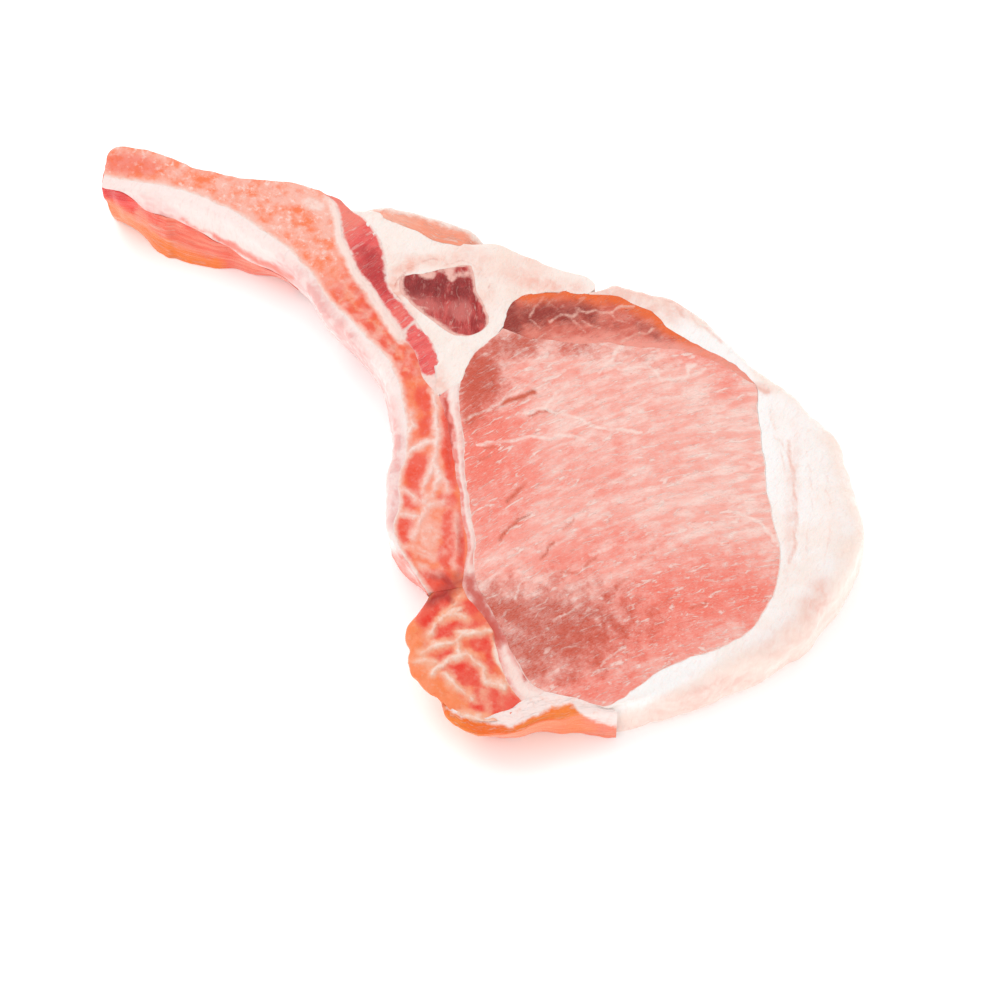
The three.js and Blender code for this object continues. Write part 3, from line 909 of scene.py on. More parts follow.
eye = block(even_walk(EYE_NEAR, EYE_ALONG), even_walk(LEAN_FAR, EYE_ALONG, CAP_END), EYE_ACROSS, CELLS_UP)
cap_line = even_walk(CAP_NEAR, EYE_ACROSS)[np.rint(eye.v * EYE_ACROSS).astype(int)]
chord_start = spline(EYE_NEAR, np.zeros(1))
chord = chord_start + eye.v[:, None] * (spline(LEAN_FAR, np.full(1, float(CAP_END))) - chord_start)
eye.plan = drift(eye.plan + (cap_line - chord) * ((1.0 - eye.u) ** CAP_BEND_FADE)[:, None])
eye_spot = photo_place(eye.plan)
eye_rim = rim_of(eye)
eye_vein = closeness(eye_spot, EYE_VEINS, VEIN_REACH)
eye_slit = closeness(eye_spot, EYE_SLITS, SLIT_REACH)
eye_path = fibre_place(eye.plan, np.zeros(len(eye.u)))
bundles = cloud(eye_path[:, :2] / [BUNDLE_LENGTH, BUNDLE_WIDTH], 1.0, 9)
eye_top = cut_face(eye.plan) + lumps(eye.plan) + EYE_DOME * np.sin(np.pi * eye.u) * np.sin(np.pi * eye.v)
eye_top += (
    BUNDLE_RISE * bundles * ease(0.0, 1.0, eye_rim)
    + VEIN_RISE * ease(0.5, 1.0, eye_vein)
    - SLIT_DEPTH * ease(0.5, 1.0, eye_slit)
)
eye_top -= crease(eye_rim, EYE_CREASE_DEPTH, EYE_CREASE_REACH)
eye_height = eye_top * eye.w
white_rim = np.where(eye.u * eye.length < CAP_STRETCH, 0.0, slope_in(eye_rim, EYE_RIM_WIDTH))
white_rim = white_rim * (1.0 - blots(eye_spot, EYE_BARE, 0.4))
make_piece(
    "eye_of_loin", ["loin_eye"], "lean", LOIN, tuck_sides(eye.plan, eye_height), eye.faces,
    fibre=fibre_place(eye.plan, eye_height), rim=white_rim, vein=eye_vein, slit=eye_slit,
    warm=blots(eye_spot, EYE_WARM, 0.8), deep=blots(eye_spot, EYE_DEEP, 0.9),
)

# %% [markdown]
# ## The cap muscle
#
# Behind the eye lies a thin darker muscle. Its darker colour is partly its own and partly painted shade,
# standing in for a slope down into a recess behind the eye. It is brown-red at the left, turns orange-red
# towards the right and along the fat, and a net of thin white veins crosses it. It could be painted on the
# eye's far side, but it has a boundary of its own, so it is a second block, from the eye's far line to the
# fat.
# It passes into the eye's pale pink along their common line.

# %% Cap muscle
CAP_VEINS = [
    (0.95, [(530, 318), (533, 308), (545, 300)]),
    (1.00, [(550, 320), (562, 315), (572, 317), (580, 310), (593, 313), (605, 312), (611, 313), (618, 308),
            (634, 307)]),
    (0.90, [(530, 322), (540, 327)]), (0.90, [(572, 317), (577, 325), (587, 332)]),
    (0.90, [(580, 320), (593, 325), (601, 327)]), (0.85, [(611, 313), (618, 321), (630, 323)]),
    (0.95, [(622, 342), (633, 337), (647, 333), (653, 328)]), (0.80, [(553, 326), (547, 335), (540, 337)]),
    (0.80, [(545, 300), (556, 306), (562, 315)]), (0.75, [(600, 304), (605, 312)]),
    (0.70, [(640, 316), (652, 320), (660, 328)]),
]
# Deep patches of the cap: partly its own brown-red and partly painted shade of the slope behind the eye.
CAP_DEEP_AND_SHADE = [
    (510, 318, 14, 26, 0, 1.1), (530, 308, 30, 20, 0, 0.9), (560, 310, 44, 16, 6, 0.75),
    (600, 318, 46, 12, 6, 0.35), (655, 331, 22, 9, 14, 0.5),
]
# The cap's darker colours are partly its own and partly painted shade of the slope behind the eye.
CAP = lean_finish(
    "Dark cap lean", pale=seen(236, 150, 134), streak=seen(212, 110, 96), warm=seen(245, 120, 68),
    deep=seen(150, 70, 62), slit=seen(120, 52, 44), fat=seen(248, 200, 184), fibre=(5.0, 2.0), flecks=0.3,
    fade=seen(246, 166, 151),
)

CAP_ALONG, CAP_ACROSS = 150, 34
CAP_NEAR_SPAN, CAP_FAR_SPAN = (0.02, 6.98), (0.0, 9.95)
CAP_VEIN_RISE = 0.1
CAP_BORDER = 5.0
SMALL_VEIN_REACH = 6.5
cap = block(
    even_walk(CAP_NEAR, CAP_ALONG, *CAP_NEAR_SPAN), even_walk(LEAN_FAR, CAP_ALONG, *CAP_FAR_SPAN),
    CAP_ACROSS, CELLS_UP,
)
cap.plan = drift(cap.plan)
cap_spot = photo_place(cap.plan)
cap_rim = rim_of(cap)
cap_vein = 0.9 * closeness(cap_spot, CAP_VEINS, SMALL_VEIN_REACH)
cap_top = cut_face(cap.plan) + lumps(cap.plan) + CAP_VEIN_RISE * ease(0.5, 1.0, cap_vein) - crease(cap_rim)
cap_top += uneven_face(cap.plan, cap_rim, height=0.12, cell=2.0, seed=10, margin=1.0)
cap_height = cap_top * cap.w
cap_far = (1.0 - cap.v) * cap.width
orange = 1.15 * slope_in(cap_far, CAP_BORDER) * ease(0.03, 0.14, cap.u)
orange *= 1.0 - 0.7 * ease(0.6, 0.9, cap.u)
passing = 0.95 * ease(0.05, 0.3, cap.u) * slope_in(cap.v * cap.width, CAP_BORDER)
passing += 0.9 * ease(0.6, 0.95, cap.u)
make_piece(
    "cap_of_loin", ["cap_muscle"], "dark_lean", CAP, tuck_sides(cap.plan, cap_height), cap.faces,
    fibre=fibre_place(cap.plan, cap_height), vein=cap_vein, fade=passing, warm=orange,
    deep=blots(cap_spot, CAP_DEEP_AND_SHADE, 0.6) * (1.0 - 0.8 * np.clip(orange, 0.0, 1.0)),
)

# %% [markdown]
# ## Fat finish
#
# Hard white fat is bright and waxy rather than wet. It is cream in soft clouds, faintly wrinkled, and pink
# where a thin skin of meat was left on it. The outer wall is creamier than the sawn face, and creamier and
# pinker towards the table: partly the fat's own colour and partly painted shade on the wall. One plain white
# would look like plaster, so the marks of each piece say where the cream, the pink and the red go.

# %% Fat finish
def fat_finish(name, white, cream, pink, red, gloss=0.48):
    """Fat colours over the fat group: clouds of cream, then pink skin and red lines where they are marked. A
    mark that a piece doesn't have reads as 0."""
    material, tree = start_finish(name)
    place = place_of(tree)
    grain = use(tree, FAT_GRAIN, {"Place": place, "Size": 9.0})
    fine = use(tree, FAT_GRAIN, {"Place": place, "Size": 2.6})
    amount = scaled(tree, grain["Cloud"], 0.5, mark_of(tree, "wall"))
    colour = mix(tree, band(tree, amount, 0.0, 1.2), white, cream)
    colour = mix(tree, calc(tree, "MULTIPLY", fine["Wrinkle"], 0.22), colour, pink)
    skin = calc(tree, "MULTIPLY", mark_of(tree, "pink"), calc(tree, "ADD", 0.45, fine["Cloud"]))
    colour = mix(tree, skin, colour, pink)
    drawn = use(tree, RAGGED, {
        "Place": place, "Mark": mark_of(tree, "red"), "Edge": 0.66, "Soft": 0.26, "Ragged": 0.5, "Grain": 1.4,
    })
    colour = mix(tree, calc(tree, "MULTIPLY", drawn["Mask"], 0.85), colour, red)
    wet = scaled(tree, fine["Cloud"], 0.16, gloss - 0.08)
    rise = scaled(tree, fine["Height"], 0.6, grain["Height"])
    end_finish(tree, colour, wet, rise, relief=0.3, flesh=0.16, coat=0.05)
    return material


FAT = fat_finish(
    "White fat", white=seen(255, 255, 253), cream=seen(253, 237, 226), pink=seen(247, 211, 199),
    red=seen(242, 196, 182),
)
WEDGE_FAT = fat_finish(
    "Creamy fat", white=seen(253, 245, 238), cream=seen(251, 230, 217), pink=seen(248, 200, 185),
    red=seen(206, 112, 98),
)
print("finishes", FAT.name, "and", WEDGE_FAT.name)

# %% [markdown]
# ## The fat round the outside
#
# The rim of fat starts as a thin line at the notch, thickens behind the cap, and is widest at the right. Its
# outer edge is rounded over, and so is its foot at the table. A bevel would round it evenly. Here the radius
# grows along the rim, so the drop of a quarter circle is worked out for every point.

# %% Fat cap
FAT_SHOULDER = 8.0
FAT_HEEL = 3.0
FAT_STEPS, FAT_ACROSS, FAT_UP = 300, 40, 16
FAT_CROWDING = 1.7
FAT_NOTCH = 4.1
NOTCH_THINNING, NOTCH_SPAN = 0.55, (0.0, 0.04)
GROWTH_SPAN = (0.2, 0.5)
WALL_SWELL, WALL_CELL = 0.45, 7.0
FOLD_SWELL, FOLD_CELL = 0.2, 2.2
FAT_RED_REACH = 6.0
FAT_PINK = [
    (640, 300, 66, 16, 10, 0.8), (604, 296, 18, 16, 0, 0.8), (815, 602, 12, 22, 25, 0.9),
    (705, 694, 64, 12, -22, 0.75), (790, 640, 60, 20, -35, 0.45), (792, 500, 6, 60, 3, 0.5),
    (760, 388, 10, 5, 10, 0.9),
]
FAT_RED = [
    (0.90, [(607, 282), (647, 291), (682, 306)]), (0.70, [(684, 306), (700, 325), (722, 342)]),
    (0.90, [(745, 384), (757, 388), (770, 392)]), (0.80, [(676, 310), (684, 316)]),
    (0.85, [(787, 440), (792, 475), (795, 510), (795, 540), (790, 562)]), (0.65, [(780, 440), (785, 474)]),
    (0.62, [(808, 450), (812, 500), (807, 550)]), (0.60, [(826, 470), (830, 520), (824, 566)]),
    (0.62, [(770, 410), (776, 440)]),
]
# Whiter patches with no cream; the low one is partly painted light, where the face turns to the light.
FAT_WHITE_AND_LIGHT = [(650, 686, 54, 14, -24, 1.0), (760, 440, 12, 50, -10, 0.8), (720, 352, 40, 14, 42, 0.9)]

fat_line = even_walk(FAT_OUTER, FAT_STEPS)
fat_start = 1.0 - NOTCH_THINNING * (1.0 - ease(*NOTCH_SPAN, np.linspace(0.0, 1.0, FAT_STEPS + 1)))
fat_within = even_walk(LEAN_FAR, FAT_STEPS, FAT_NOTCH)
fat_line = fat_within + (fat_line - fat_within) * fat_start[:, None]
fat = block(fat_within, fat_line, FAT_ACROSS, FAT_UP, spread=FAT_CROWDING)
fat.plan = drift(fat.plan)
fat_edge = (1.0 - fat.v) * fat.width
growth = ease(*GROWTH_SPAN, fat.u)
shoulder = np.minimum(FAT_SHOULDER * (0.35 + 0.65 * growth), 0.8 * fat.width)
heel = np.minimum(FAT_HEEL * (0.5 + 0.5 * growth), 0.5 * fat.width)
fat_top = cut_face(fat.plan) + lumps(fat.plan) - rounded(fat_edge, shoulder)
fat_inner = fat.v * fat.width
fat_top += uneven_face(fat.plan, fat_inner, height=0.25, cell=6.0, seed=11, margin=1.5) - crease(fat_inner)
fat_foot = rounded(fat_edge, heel)
fat_height = fat_foot + (fat_top - fat_foot) * fat.w
wall_place = np.column_stack([fat.u * fat.length, fat_height])
swell = WALL_SWELL * cloud(wall_place, WALL_CELL, 12)
swell += FOLD_SWELL * cloud(wall_place / [1.0, 3.0], FOLD_CELL, 13)
fat.plan = fat.plan + left_of(fat_line)[fat.step] * (swell * ease(0.5, 1.0, fat.v))[:, None]
fat_points = tuck_sides(fat.plan, fat_height)
fat_spot = pixel_of(fat_points)
# Cream towards the outer wall and its foot, and pink low on the wall: partly the fat's own colour and partly
# painted shade on the wall.
fat_wall_cream_and_shade = 0.2 + 0.65 * (1.0 - ease(0.5, 6.0, fat_edge)) + 0.2 * (1.0 - fat.w)
low_wall_pink_and_shade = 0.5 * growth * (1.0 - ease(0.0, 0.7, fat.w)) * (1.0 - ease(0.0, 2.0, fat_edge))
make_piece(
    "back_fat", ["fat_cap"], "fat", FAT, fat_points, fat.faces,
    wall=fat_wall_cream_and_shade - 0.8 * blots(fat_spot, FAT_WHITE_AND_LIGHT, 0.5),
    pink=np.maximum(blots(fat_spot, FAT_PINK, 0.7), low_wall_pink_and_shade),
    red=closeness(fat_spot, FAT_RED, FAT_RED_REACH),
)

# %% [markdown]
# ## The wedge of fat and the small dark muscle
#
# Between the rib and the eye lies a triangle of creamy fat, and a small muscle of the darkest red sits in it.
# Fat reaches into the muscle's upper edge in fingers. A whole slab of fat with the muscle pushed into it
# would hide one inside the other. So the fat is a ring and the muscle fills its hole. The ring's outer edge
# is a little wider than its line and lower than its neighbours, so no gap opens between them. It lies lowest
# along the two strips of lean and at the thin horn by the rib. Its sides are given in control points, and
# its horn along x.

# %% Fat wedge
WEDGE_NODES = ["fat_wedge_left", "fat_wedge_back", "fat_wedge_side", "fat_wedge_low"]
WEDGE_STEPS, WEDGE_ACROSS = 342, 34
WEDGE_UNDER = 0.5
LONG_SIDE_START, LONG_SIDE_STOP = (16.4, 17.2), (0.2, 0.9)
SHORT_SIDE_START, SHORT_SIDE_STOP = (12.2, 12.8), (14.2, 15.0)
RIM_DROP, LONG_SIDE_DROP, SHORT_SIDE_DROP = 0.12, 0.7, 0.3
DROP_WIDTH = (0.2, 1.2)
HORN_DROP, HORN_SPAN = 2.5, (-46.0, -39.0)
WEDGE_RED_REACH = 5.0
WEDGE_PINK = [
    (470, 262, 24, 14, 20, 0.45), (524, 272, 26, 14, 0, 0.4), (548, 285, 32, 8, 6, 0.7),
    (396, 288, 9, 18, 0, 0.8), (430, 261, 36, 6, 5, 0.6), (486, 300, 10, 16, 0, 0.35),
    (440, 385, 10, 16, 0, 0.5), (404, 312, 12, 8, 35, 0.5), (406, 267, 14, 6, -22, 0.8),
]
WEDGE_CREAM = [(510, 272, 60, 30, 10, 1.0)]
WEDGE_RED = [
    (0.90, [(392, 297), (400, 302), (396, 306)]), (0.68, [(394, 286), (402, 274), (413, 265)]),
    (0.66, [(399, 280), (408, 269), (420, 262)]), (0.64, [(412, 266), (424, 261), (438, 260)]),
    (0.62, [(480, 268), (486, 282), (490, 296)]), (0.60, [(448, 264), (462, 262), (474, 266)]),
]
round_places = np.arange(WEDGE_STEPS) * len(DARK_OUTLINE) / WEDGE_STEPS
dark_loop = spline(DARK_OUTLINE, round_places, closed=True)
wedge_loop = spline(WEDGE_OUTLINE, round_places, closed=True)
wedge_loop = wedge_loop + WEDGE_UNDER * left_of(wedge_loop)
wedge = ring(dark_loop, wedge_loop, WEDGE_ACROSS, CELLS_UP)
wedge.plan = drift(wedge.plan)
wedge_spot = photo_place(wedge.plan)
wedge_outer = (1.0 - wedge.v) * wedge.width
wedge_rim = np.minimum(wedge.v * wedge.width, wedge_outer)
wedge_turn = wedge.u * len(WEDGE_OUTLINE)
by_long = ease(*LONG_SIDE_START, wedge_turn) + 1.0 - ease(*LONG_SIDE_STOP, wedge_turn)
by_short = ease(*SHORT_SIDE_START, wedge_turn) - ease(*SHORT_SIDE_STOP, wedge_turn)
side_drop = RIM_DROP + LONG_SIDE_DROP * by_long + SHORT_SIDE_DROP * by_short
wedge_top = cut_face(wedge.plan) + lumps(wedge.plan)
wedge_top += uneven_face(wedge.plan, wedge_rim, height=0.3, cell=4.0, seed=14)
wedge_top -= side_drop * (1.0 - ease(*DROP_WIDTH, wedge_outer))
wedge_top -= HORN_DROP * (1.0 - ease(*HORN_SPAN, wedge.plan[:, 0]))
wedge_height = wedge_top * wedge.w
make_piece(
    "wedge_fat", WEDGE_NODES, "fat", WEDGE_FAT, tuck_sides(wedge.plan, wedge_height), wedge.faces,
    wall=0.35 * blots(wedge_spot, WEDGE_CREAM, 0.6),
    pink=blots(wedge_spot, WEDGE_PINK, 0.6), red=closeness(wedge_spot, WEDGE_RED, WEDGE_RED_REACH),
)

# %% Small dark muscle
DARK_FINGERS = [
    (1.00, [(412, 261), (418, 269), (424, 276)]), (1.00, [(421, 261), (427, 269), (430, 275)]),
    (0.90, [(438, 260), (440, 269)]), (1.00, [(449, 262), (451, 271), (452, 277)]),
    (0.75, [(452, 278), (462, 277), (472, 276)]), (0.80, [(398, 268), (404, 271)]),
]
DARK_VEINS = [
    (0.85, [(394, 283), (403, 286), (410, 292)]), (0.80, [(398, 297), (407, 297), (416, 300)]),
    (0.80, [(404, 304), (416, 308), (428, 310)]), (0.80, [(416, 314), (428, 318), (440, 319)]),
    (0.70, [(424, 296), (436, 299)]), (0.75, [(432, 326), (446, 328), (458, 327)]),
    (0.70, [(452, 284), (452, 296)]), (0.70, [(440, 306), (447, 312), (450, 320)]),
]
DARK_DEEP = [
    (424, 286, 24, 12, 0, 1.0), (458, 291, 18, 13, 0, 0.85), (408, 280, 9, 8, 0, 0.8),
    (440, 289, 16, 14, 0, 0.9), (477, 322, 8, 12, 0, 0.5),
]
DARK_WARM = [(422, 302, 26, 9, 20, 0.8), (461, 310, 11, 10, 0, 1.5), (441, 325, 24, 6, 12, 0.4)]
DARK = lean_finish(
    "Darkest lean", pale=seen(222, 106, 102), streak=seen(168, 62, 64), warm=seen(212, 124, 118),
    deep=seen(140, 40, 44), slit=seen(96, 36, 36), fat=seen(246, 196, 184), fibre=(5.0, 1.5), flecks=0.4,
    rim=0.62,
)

DARK_ALONG, DARK_ACROSS = 64, 44
DARK_SPAN = (0.05, 9.45)
DARK_RIM_WIDTH = 2.0
FINGER_REACH = 10.0
half_way = np.linspace(*DARK_SPAN, DARK_ALONG + 1)
dark = block(
    spline(DARK_OUTLINE, len(DARK_OUTLINE) - half_way, closed=True),
    spline(DARK_OUTLINE, half_way, closed=True), DARK_ACROSS, CELLS_UP,
)
dark.plan = drift(dark.plan)
dark_spot = photo_place(dark.plan)
dark_rim = rim_of(dark, ends=False)
dark_top = cut_face(dark.plan) + lumps(dark.plan) - crease(dark_rim)
dark_top += uneven_face(dark.plan, dark_rim, height=0.25, cell=2.4, seed=15)
dark_height = dark_top * dark.w
dark_path = np.column_stack([dark.plan @ AWAY[:2], dark.plan @ ACROSS[:2], dark_height])
make_piece(
    "dark_muscle_meat", ["dark_muscle"], "dark_lean", DARK, tuck_sides(dark.plan, dark_height), dark.faces,
    fibre=dark_path,
    rim=np.maximum(slope_in(dark_rim, DARK_RIM_WIDTH), closeness(dark_spot, DARK_FINGERS, FINGER_REACH)),
    vein=closeness(dark_spot, DARK_VEINS, SMALL_VEIN_REACH),
    deep=blots(dark_spot, DARK_DEEP, 0.9), warm=blots(dark_spot, DARK_WARM, 0.7),
)

# %% [markdown]
# ## The seam of fat beside the bone
#
# A thin line of fat and membrane runs between the bones and the eye. It is only two to four millimetres wide,
# white with a pink edge, and dark red on one stretch. It could be a rim painted on the bone or on the eye,
# but it is a layer of its own, so a narrow block between the bone's line and the eye's line fills it.

# %% Bone seam
SEAM_RED = [
    (0.95, [(521, 667), (527, 678)]), (0.95, [(445, 398), (449, 430), (451, 460), (453, 484)]),
    (0.85, [(458, 515), (462, 545), (464, 566)]),
]
SEAM_DARK = [(1.0, [(468, 580), (478, 600), (488, 618), (498, 638)])]
SEAM_FAT = fat_finish(
    "Seam fat", white=seen(254, 240, 233), cream=seen(252, 220, 209), pink=seen(242, 156, 146),
    red=seen(206, 82, 70),
)
SEAM_ALONG, SEAM_ACROSS = 180, 9
SEAM_BONE_START, SEAM_EYE_START = 12.9, 3.0
SEAM_RISE = 0.15
SEAM_SKIN_WIDTH = 1.6
SEAM_RED_REACH, SEAM_DARK_REACH = 7.0, 20.0
seam = block(
    even_walk(BONE_FAR, SEAM_ALONG, SEAM_BONE_START), even_walk(EYE_NEAR, SEAM_ALONG, SEAM_EYE_START),
    SEAM_ACROSS, CELLS_UP,
)
seam.plan = drift(seam.plan)
seam_spot = photo_place(seam.plan)
seam_rim = rim_of(seam, ends=False)
seam_top = cut_face(seam.plan) + lumps(seam.plan) + SEAM_RISE * ease(0.0, 1.0, seam_rim)
seam_height = seam_top * seam.w
seam_blush = 0.5 + 0.5 * cloud(seam.plan, 6.0, 25)
seam_side = (1.0 - ease(0.3, 0.6, seam.v)) * (1.0 - ease(0.45, 0.65, seam.u))
seam_skin = np.maximum(seam_blush * slope_in(seam_rim, SEAM_SKIN_WIDTH), seam_side)
seam_line = closeness(seam_spot, SEAM_RED, SEAM_RED_REACH)
seam_stretch = closeness(seam_spot, SEAM_DARK, SEAM_DARK_REACH)
make_piece(
    "bone_seam", ["seam_fat"], "fat", SEAM_FAT, tuck_sides(seam.plan, seam_height), seam.faces,
    wall=0.4 * seam_blush, pink=seam_skin, red=np.maximum(seam_line, seam_stretch),
)

# %% [markdown]
# ## Strips of red lean beside the rib
#
# Two strips of lean lie along the rib, with a white septum where they meet. The short one is round at both
# ends with fat about it, so its red part is a sausage about a line, and the rest of its block shows as fat.
# A thin orange-pink strip runs along the slice's back edge. Tubes along curves could stand for the strips,
# but they are sawn flat like the rest. Blocks serve for all three, and marks change their colour along them.

# %% Red strips
STRIP_DEEP = [
    (374, 268, 14, 30, -28, 0.85), (384, 296, 10, 12, -30, 0.6), (366, 244, 9, 12, -25, 0.45),
    (420, 340, 8, 8, -25, 0.3),
]
STRIP_WARM = [(338, 208, 30, 22, 40, 1.1), (400, 316, 10, 14, -30, 0.5)]
SHORT_RED = [(1.0, [(414, 334), (420, 345), (427, 357), (431, 366)])]
SAUSAGE_HALF = 11.5
LINE_REACH = 24.0
STRIP_RIM_WIDTH = 2.0
STRIP_ACROSS = 18
STRIP = lean_finish(
    "Red strip lean", pale=seen(250, 130, 124), streak=seen(238, 98, 98), warm=seen(252, 150, 134),
    deep=seen(190, 74, 76), slit=seen(140, 50, 48), fat=seen(253, 226, 217), fibre=(5.0, 1.6), flecks=0.35,
    rim=0.7,
)


def low_fat(shape, height):
    """Closeness to the fat low on a wall: 1 less an eased climb, from a quarter to three quarters of the
    height, with a cloud of 5 mm cells on it."""
    place = np.column_stack([shape.u * shape.length, height])
    return 1.0 - ease(0.25, 0.75, shape.w + 0.3 * cloud(place, 5.0, 36))


def strip_piece(name, node, near, far, red_line=None):
    """Strip between two lines. Its red part fills it, or is a sausage about a red line: half its width in
    pixels less the distance to that line."""
    strip = block(near, far, STRIP_ACROSS, CELLS_UP)
    strip.plan = drift(strip.plan)
    spot = photo_place(strip.plan)
    edge = rim_of(strip)
    if red_line:
        from_line = LINE_REACH * (1.0 - closeness(spot, red_line, LINE_REACH))
        rim = np.minimum(edge + 0.5, (SAUSAGE_HALF - from_line) / PIXELS_PER_MM)
    else:
        rim = edge + 2.0 * (1.0 - ease(0.02, 0.12, strip.u))
    top = cut_face(strip.plan) + lumps(strip.plan) - crease(edge)
    top += uneven_face(strip.plan, edge, height=0.25, cell=2.6, seed=16)
    height = top * strip.w
    make_piece(
        name, [node], "dark_lean", STRIP, tuck_sides(strip.plan, height), strip.faces,
        fibre=fibre_place(strip.plan, height),
        rim=np.maximum(slope_in(rim, STRIP_RIM_WIDTH), low_fat(strip, height)),
        deep=blots(spot, STRIP_DEEP, 0.8), warm=blots(spot, STRIP_WARM, 0.9),
    )


LONG_STEPS, SHORT_STEPS = 110, 60
STRIPS_START, STRIPS_STOP = 5.6, 12.95
SEPTUM_NEAR, SEPTUM_FAR = 9.97, 6.47
strip_piece(
    "red_strip_long", "side_strip_upper",
    even_walk(BONE_FAR, LONG_STEPS, STRIPS_START, SEPTUM_NEAR),
    even_walk(STRIP_FAR, LONG_STEPS, stop=SEPTUM_FAR),
)
strip_piece(
    "red_strip_short", "side_strip_lower",
    even_walk(BONE_FAR, SHORT_STEPS, SEPTUM_NEAR, STRIPS_STOP),
    even_walk(STRIP_FAR, SHORT_STEPS, SEPTUM_FAR),
    SHORT_RED,
)

# %% Back edge strip
BACK = lean_finish(
    "Back edge lean", pale=seen(253, 196, 174), streak=seen(252, 172, 148), warm=seen(251, 160, 130),
    deep=seen(226, 110, 92), slit=seen(200, 90, 76), fat=seen(254, 236, 226), fibre=(9.0, 1.2), flecks=0.5,
    rim=0.6,
)
BACK_ALONG, BACK_ACROSS, BACK_UP = 90, 14, 10
BACK_ROUND = 2.0
BACK_RIM_WIDTH = 4.5
BACK_START_DROP, BACK_STOP_DROP = 3.0, 2.0
back = block(even_walk(BACK_NEAR, BACK_ALONG), even_walk(BACK_FAR, BACK_ALONG), BACK_ACROSS, BACK_UP)
back.plan = drift(back.plan)
back_far = (1.0 - back.v) * back.width
back_round = np.minimum(BACK_ROUND, 0.8 * back.width)
back_top = cut_face(back.plan) + lumps(back.plan) - rounded(back_far, back_round)
back_top -= BACK_START_DROP * (1.0 - ease(0.0, 0.25, back.u)) + BACK_STOP_DROP * ease(0.85, 1.0, back.u)
back_height = back_top * back.w
back_rim = np.maximum(slope_in(back_far, BACK_RIM_WIDTH), ease(0.9, 1.0, back.u))
make_piece(
    "back_edge_strip", ["back_strip"], "lean", BACK, tuck_sides(back.plan, back_height), back.faces,
    fibre=np.column_stack([back.u * back.length, back.v * back.width, back_height]),
    rim=np.maximum(back_rim * ease(0.75, 1.0, back.w), low_fat(back, back_height)),
    warm=0.9 * ease(0.2, 0.7, back.u) * ease(0.9, 0.3, back.v),
)

# %% [markdown]
# ## Bone finish
#
# Sawn bone of a young animal is spongy and full of marrow: orange-pink with pale flecks on the rib, and
# orange-red cells between white walls in the chine. The walls are lines read off the photograph, cut to
# ragged edges. A Voronoi texture would give cells too, but far too even ones.

# %% Bone finish
def bone_finish(name, wall, blush, orange, red, dark, gloss=0.4):
    """Bone colours: marrow from orange to red, spongy flecks of blush and wall, red pores, then blushing
    walls, white walls and painted shade in crevices where they are marked."""
    material, tree = start_finish(name)
    place = place_of(tree)
    broad = speckle(tree, place, 3.4, 5.0, 0.62)
    pores = speckle(tree, place, 1.5, 5.0, 0.66)
    uneven = calc(tree, "SUBTRACT", broad, 0.5)
    marrow = scaled(tree, uneven, 1.7, mark_of(tree, "marrow"))
    colour = mix(tree, band(tree, marrow, 0.0, 1.0), orange, red)
    spongy = mark_of(tree, "spongy")
    colour = mix(tree, calc(tree, "MULTIPLY", band(tree, broad, 0.30, 0.62), spongy), colour, blush)
    flecks = calc(tree, "MULTIPLY", band(tree, pores, 0.53, 0.70), spongy)
    colour = mix(tree, calc(tree, "MULTIPLY", flecks, 0.75), colour, wall)
    holes = calc(tree, "MULTIPLY", band(tree, pores, 0.42, 0.26), 0.35)
    colour = mix(tree, holes, colour, red)
    line = mark_of(tree, "wall")
    around = use(tree, RAGGED, {
        "Place": place, "Mark": line, "Edge": 0.34, "Soft": 0.34, "Ragged": 1.0, "Grain": 2.4,
    })["Mask"]
    core = use(tree, RAGGED, {
        "Place": place, "Mark": line, "Edge": 0.70, "Soft": 0.3, "Ragged": 0.9, "Grain": 1.3,
    })["Mask"]
    colour = mix(tree, calc(tree, "MULTIPLY", around, 0.85), colour, blush)
    colour = mix(tree, calc(tree, "MULTIPLY", core, 0.9), colour, wall)
    # Crevices: the dark colour here is painted shade in them.
    colour = mix(tree, mark_of(tree, "crevice"), colour, dark)
    wet = scaled(tree, pores, 0.3, gloss - 0.15)
    rise = scaled(tree, core, 0.5, pores)
    end_finish(tree, colour, wet, rise, relief=0.3, flesh=0.1, coat=0.08)
    return material


# The dark colour of each bone finish is painted shade for its crevices.
RIB = bone_finish(
    "Sawn rib", wall=seen(254, 236, 227), blush=seen(252, 198, 182), orange=seen(252, 138, 98),
    red=seen(242, 88, 68), dark=seen(170, 54, 48),
)
CHINE = bone_finish(
    "Sawn chine", wall=seen(254, 236, 222), blush=seen(252, 190, 160), orange=seen(252, 144, 96),
    red=seen(240, 76, 62), dark=seen(150, 46, 40),
)
print("finishes", RIB.name, "and", CHINE.name)

# %% [markdown]
# ## The rib
#
# The rib curves from its sawn tip along the edge of the slice and down to the chine. Its face is spongy at
# the tip, then beaded with round lobes and paler rungs between them, then broken into cells by white walls,
# and its far wall has a white skin. A bent tube would be too even for it. It is a block between two lines,
# and the rib and its white lining share one of them. Their side flares at the tip and tucks in along the
# middle. Places in their shape are given along x or as shares of the length, and places on the bone in
# control points.

# %% Rib shape
RIB_FLARE = 3.0
TIP_UNDERCUT = 5.0
RIB_UNDERCUT = 6.0
LINING_WIDTH = 3.0
MEAT_HEIGHT = 14.5
TIP_RISE = 6.8
FLARE_START, FLARE_STOP = (-96.0, -84.0), (-80.0, -66.0)
TIP_SPAN = (-100.0, -86.0)
TUCK_START, TUCK_STOP = (-72.0, -54.0), (-24.0, -4.0)
MEAT_SPAN, RISE_SPAN = (-86.0, -40.0), (-95.5, -89.5)
NARROWING, NARROW_SPAN = 0.8, (0.9, 0.97)
RIB_STEPS = 360
RIB_LAST = len(RIB_NEAR) - 1

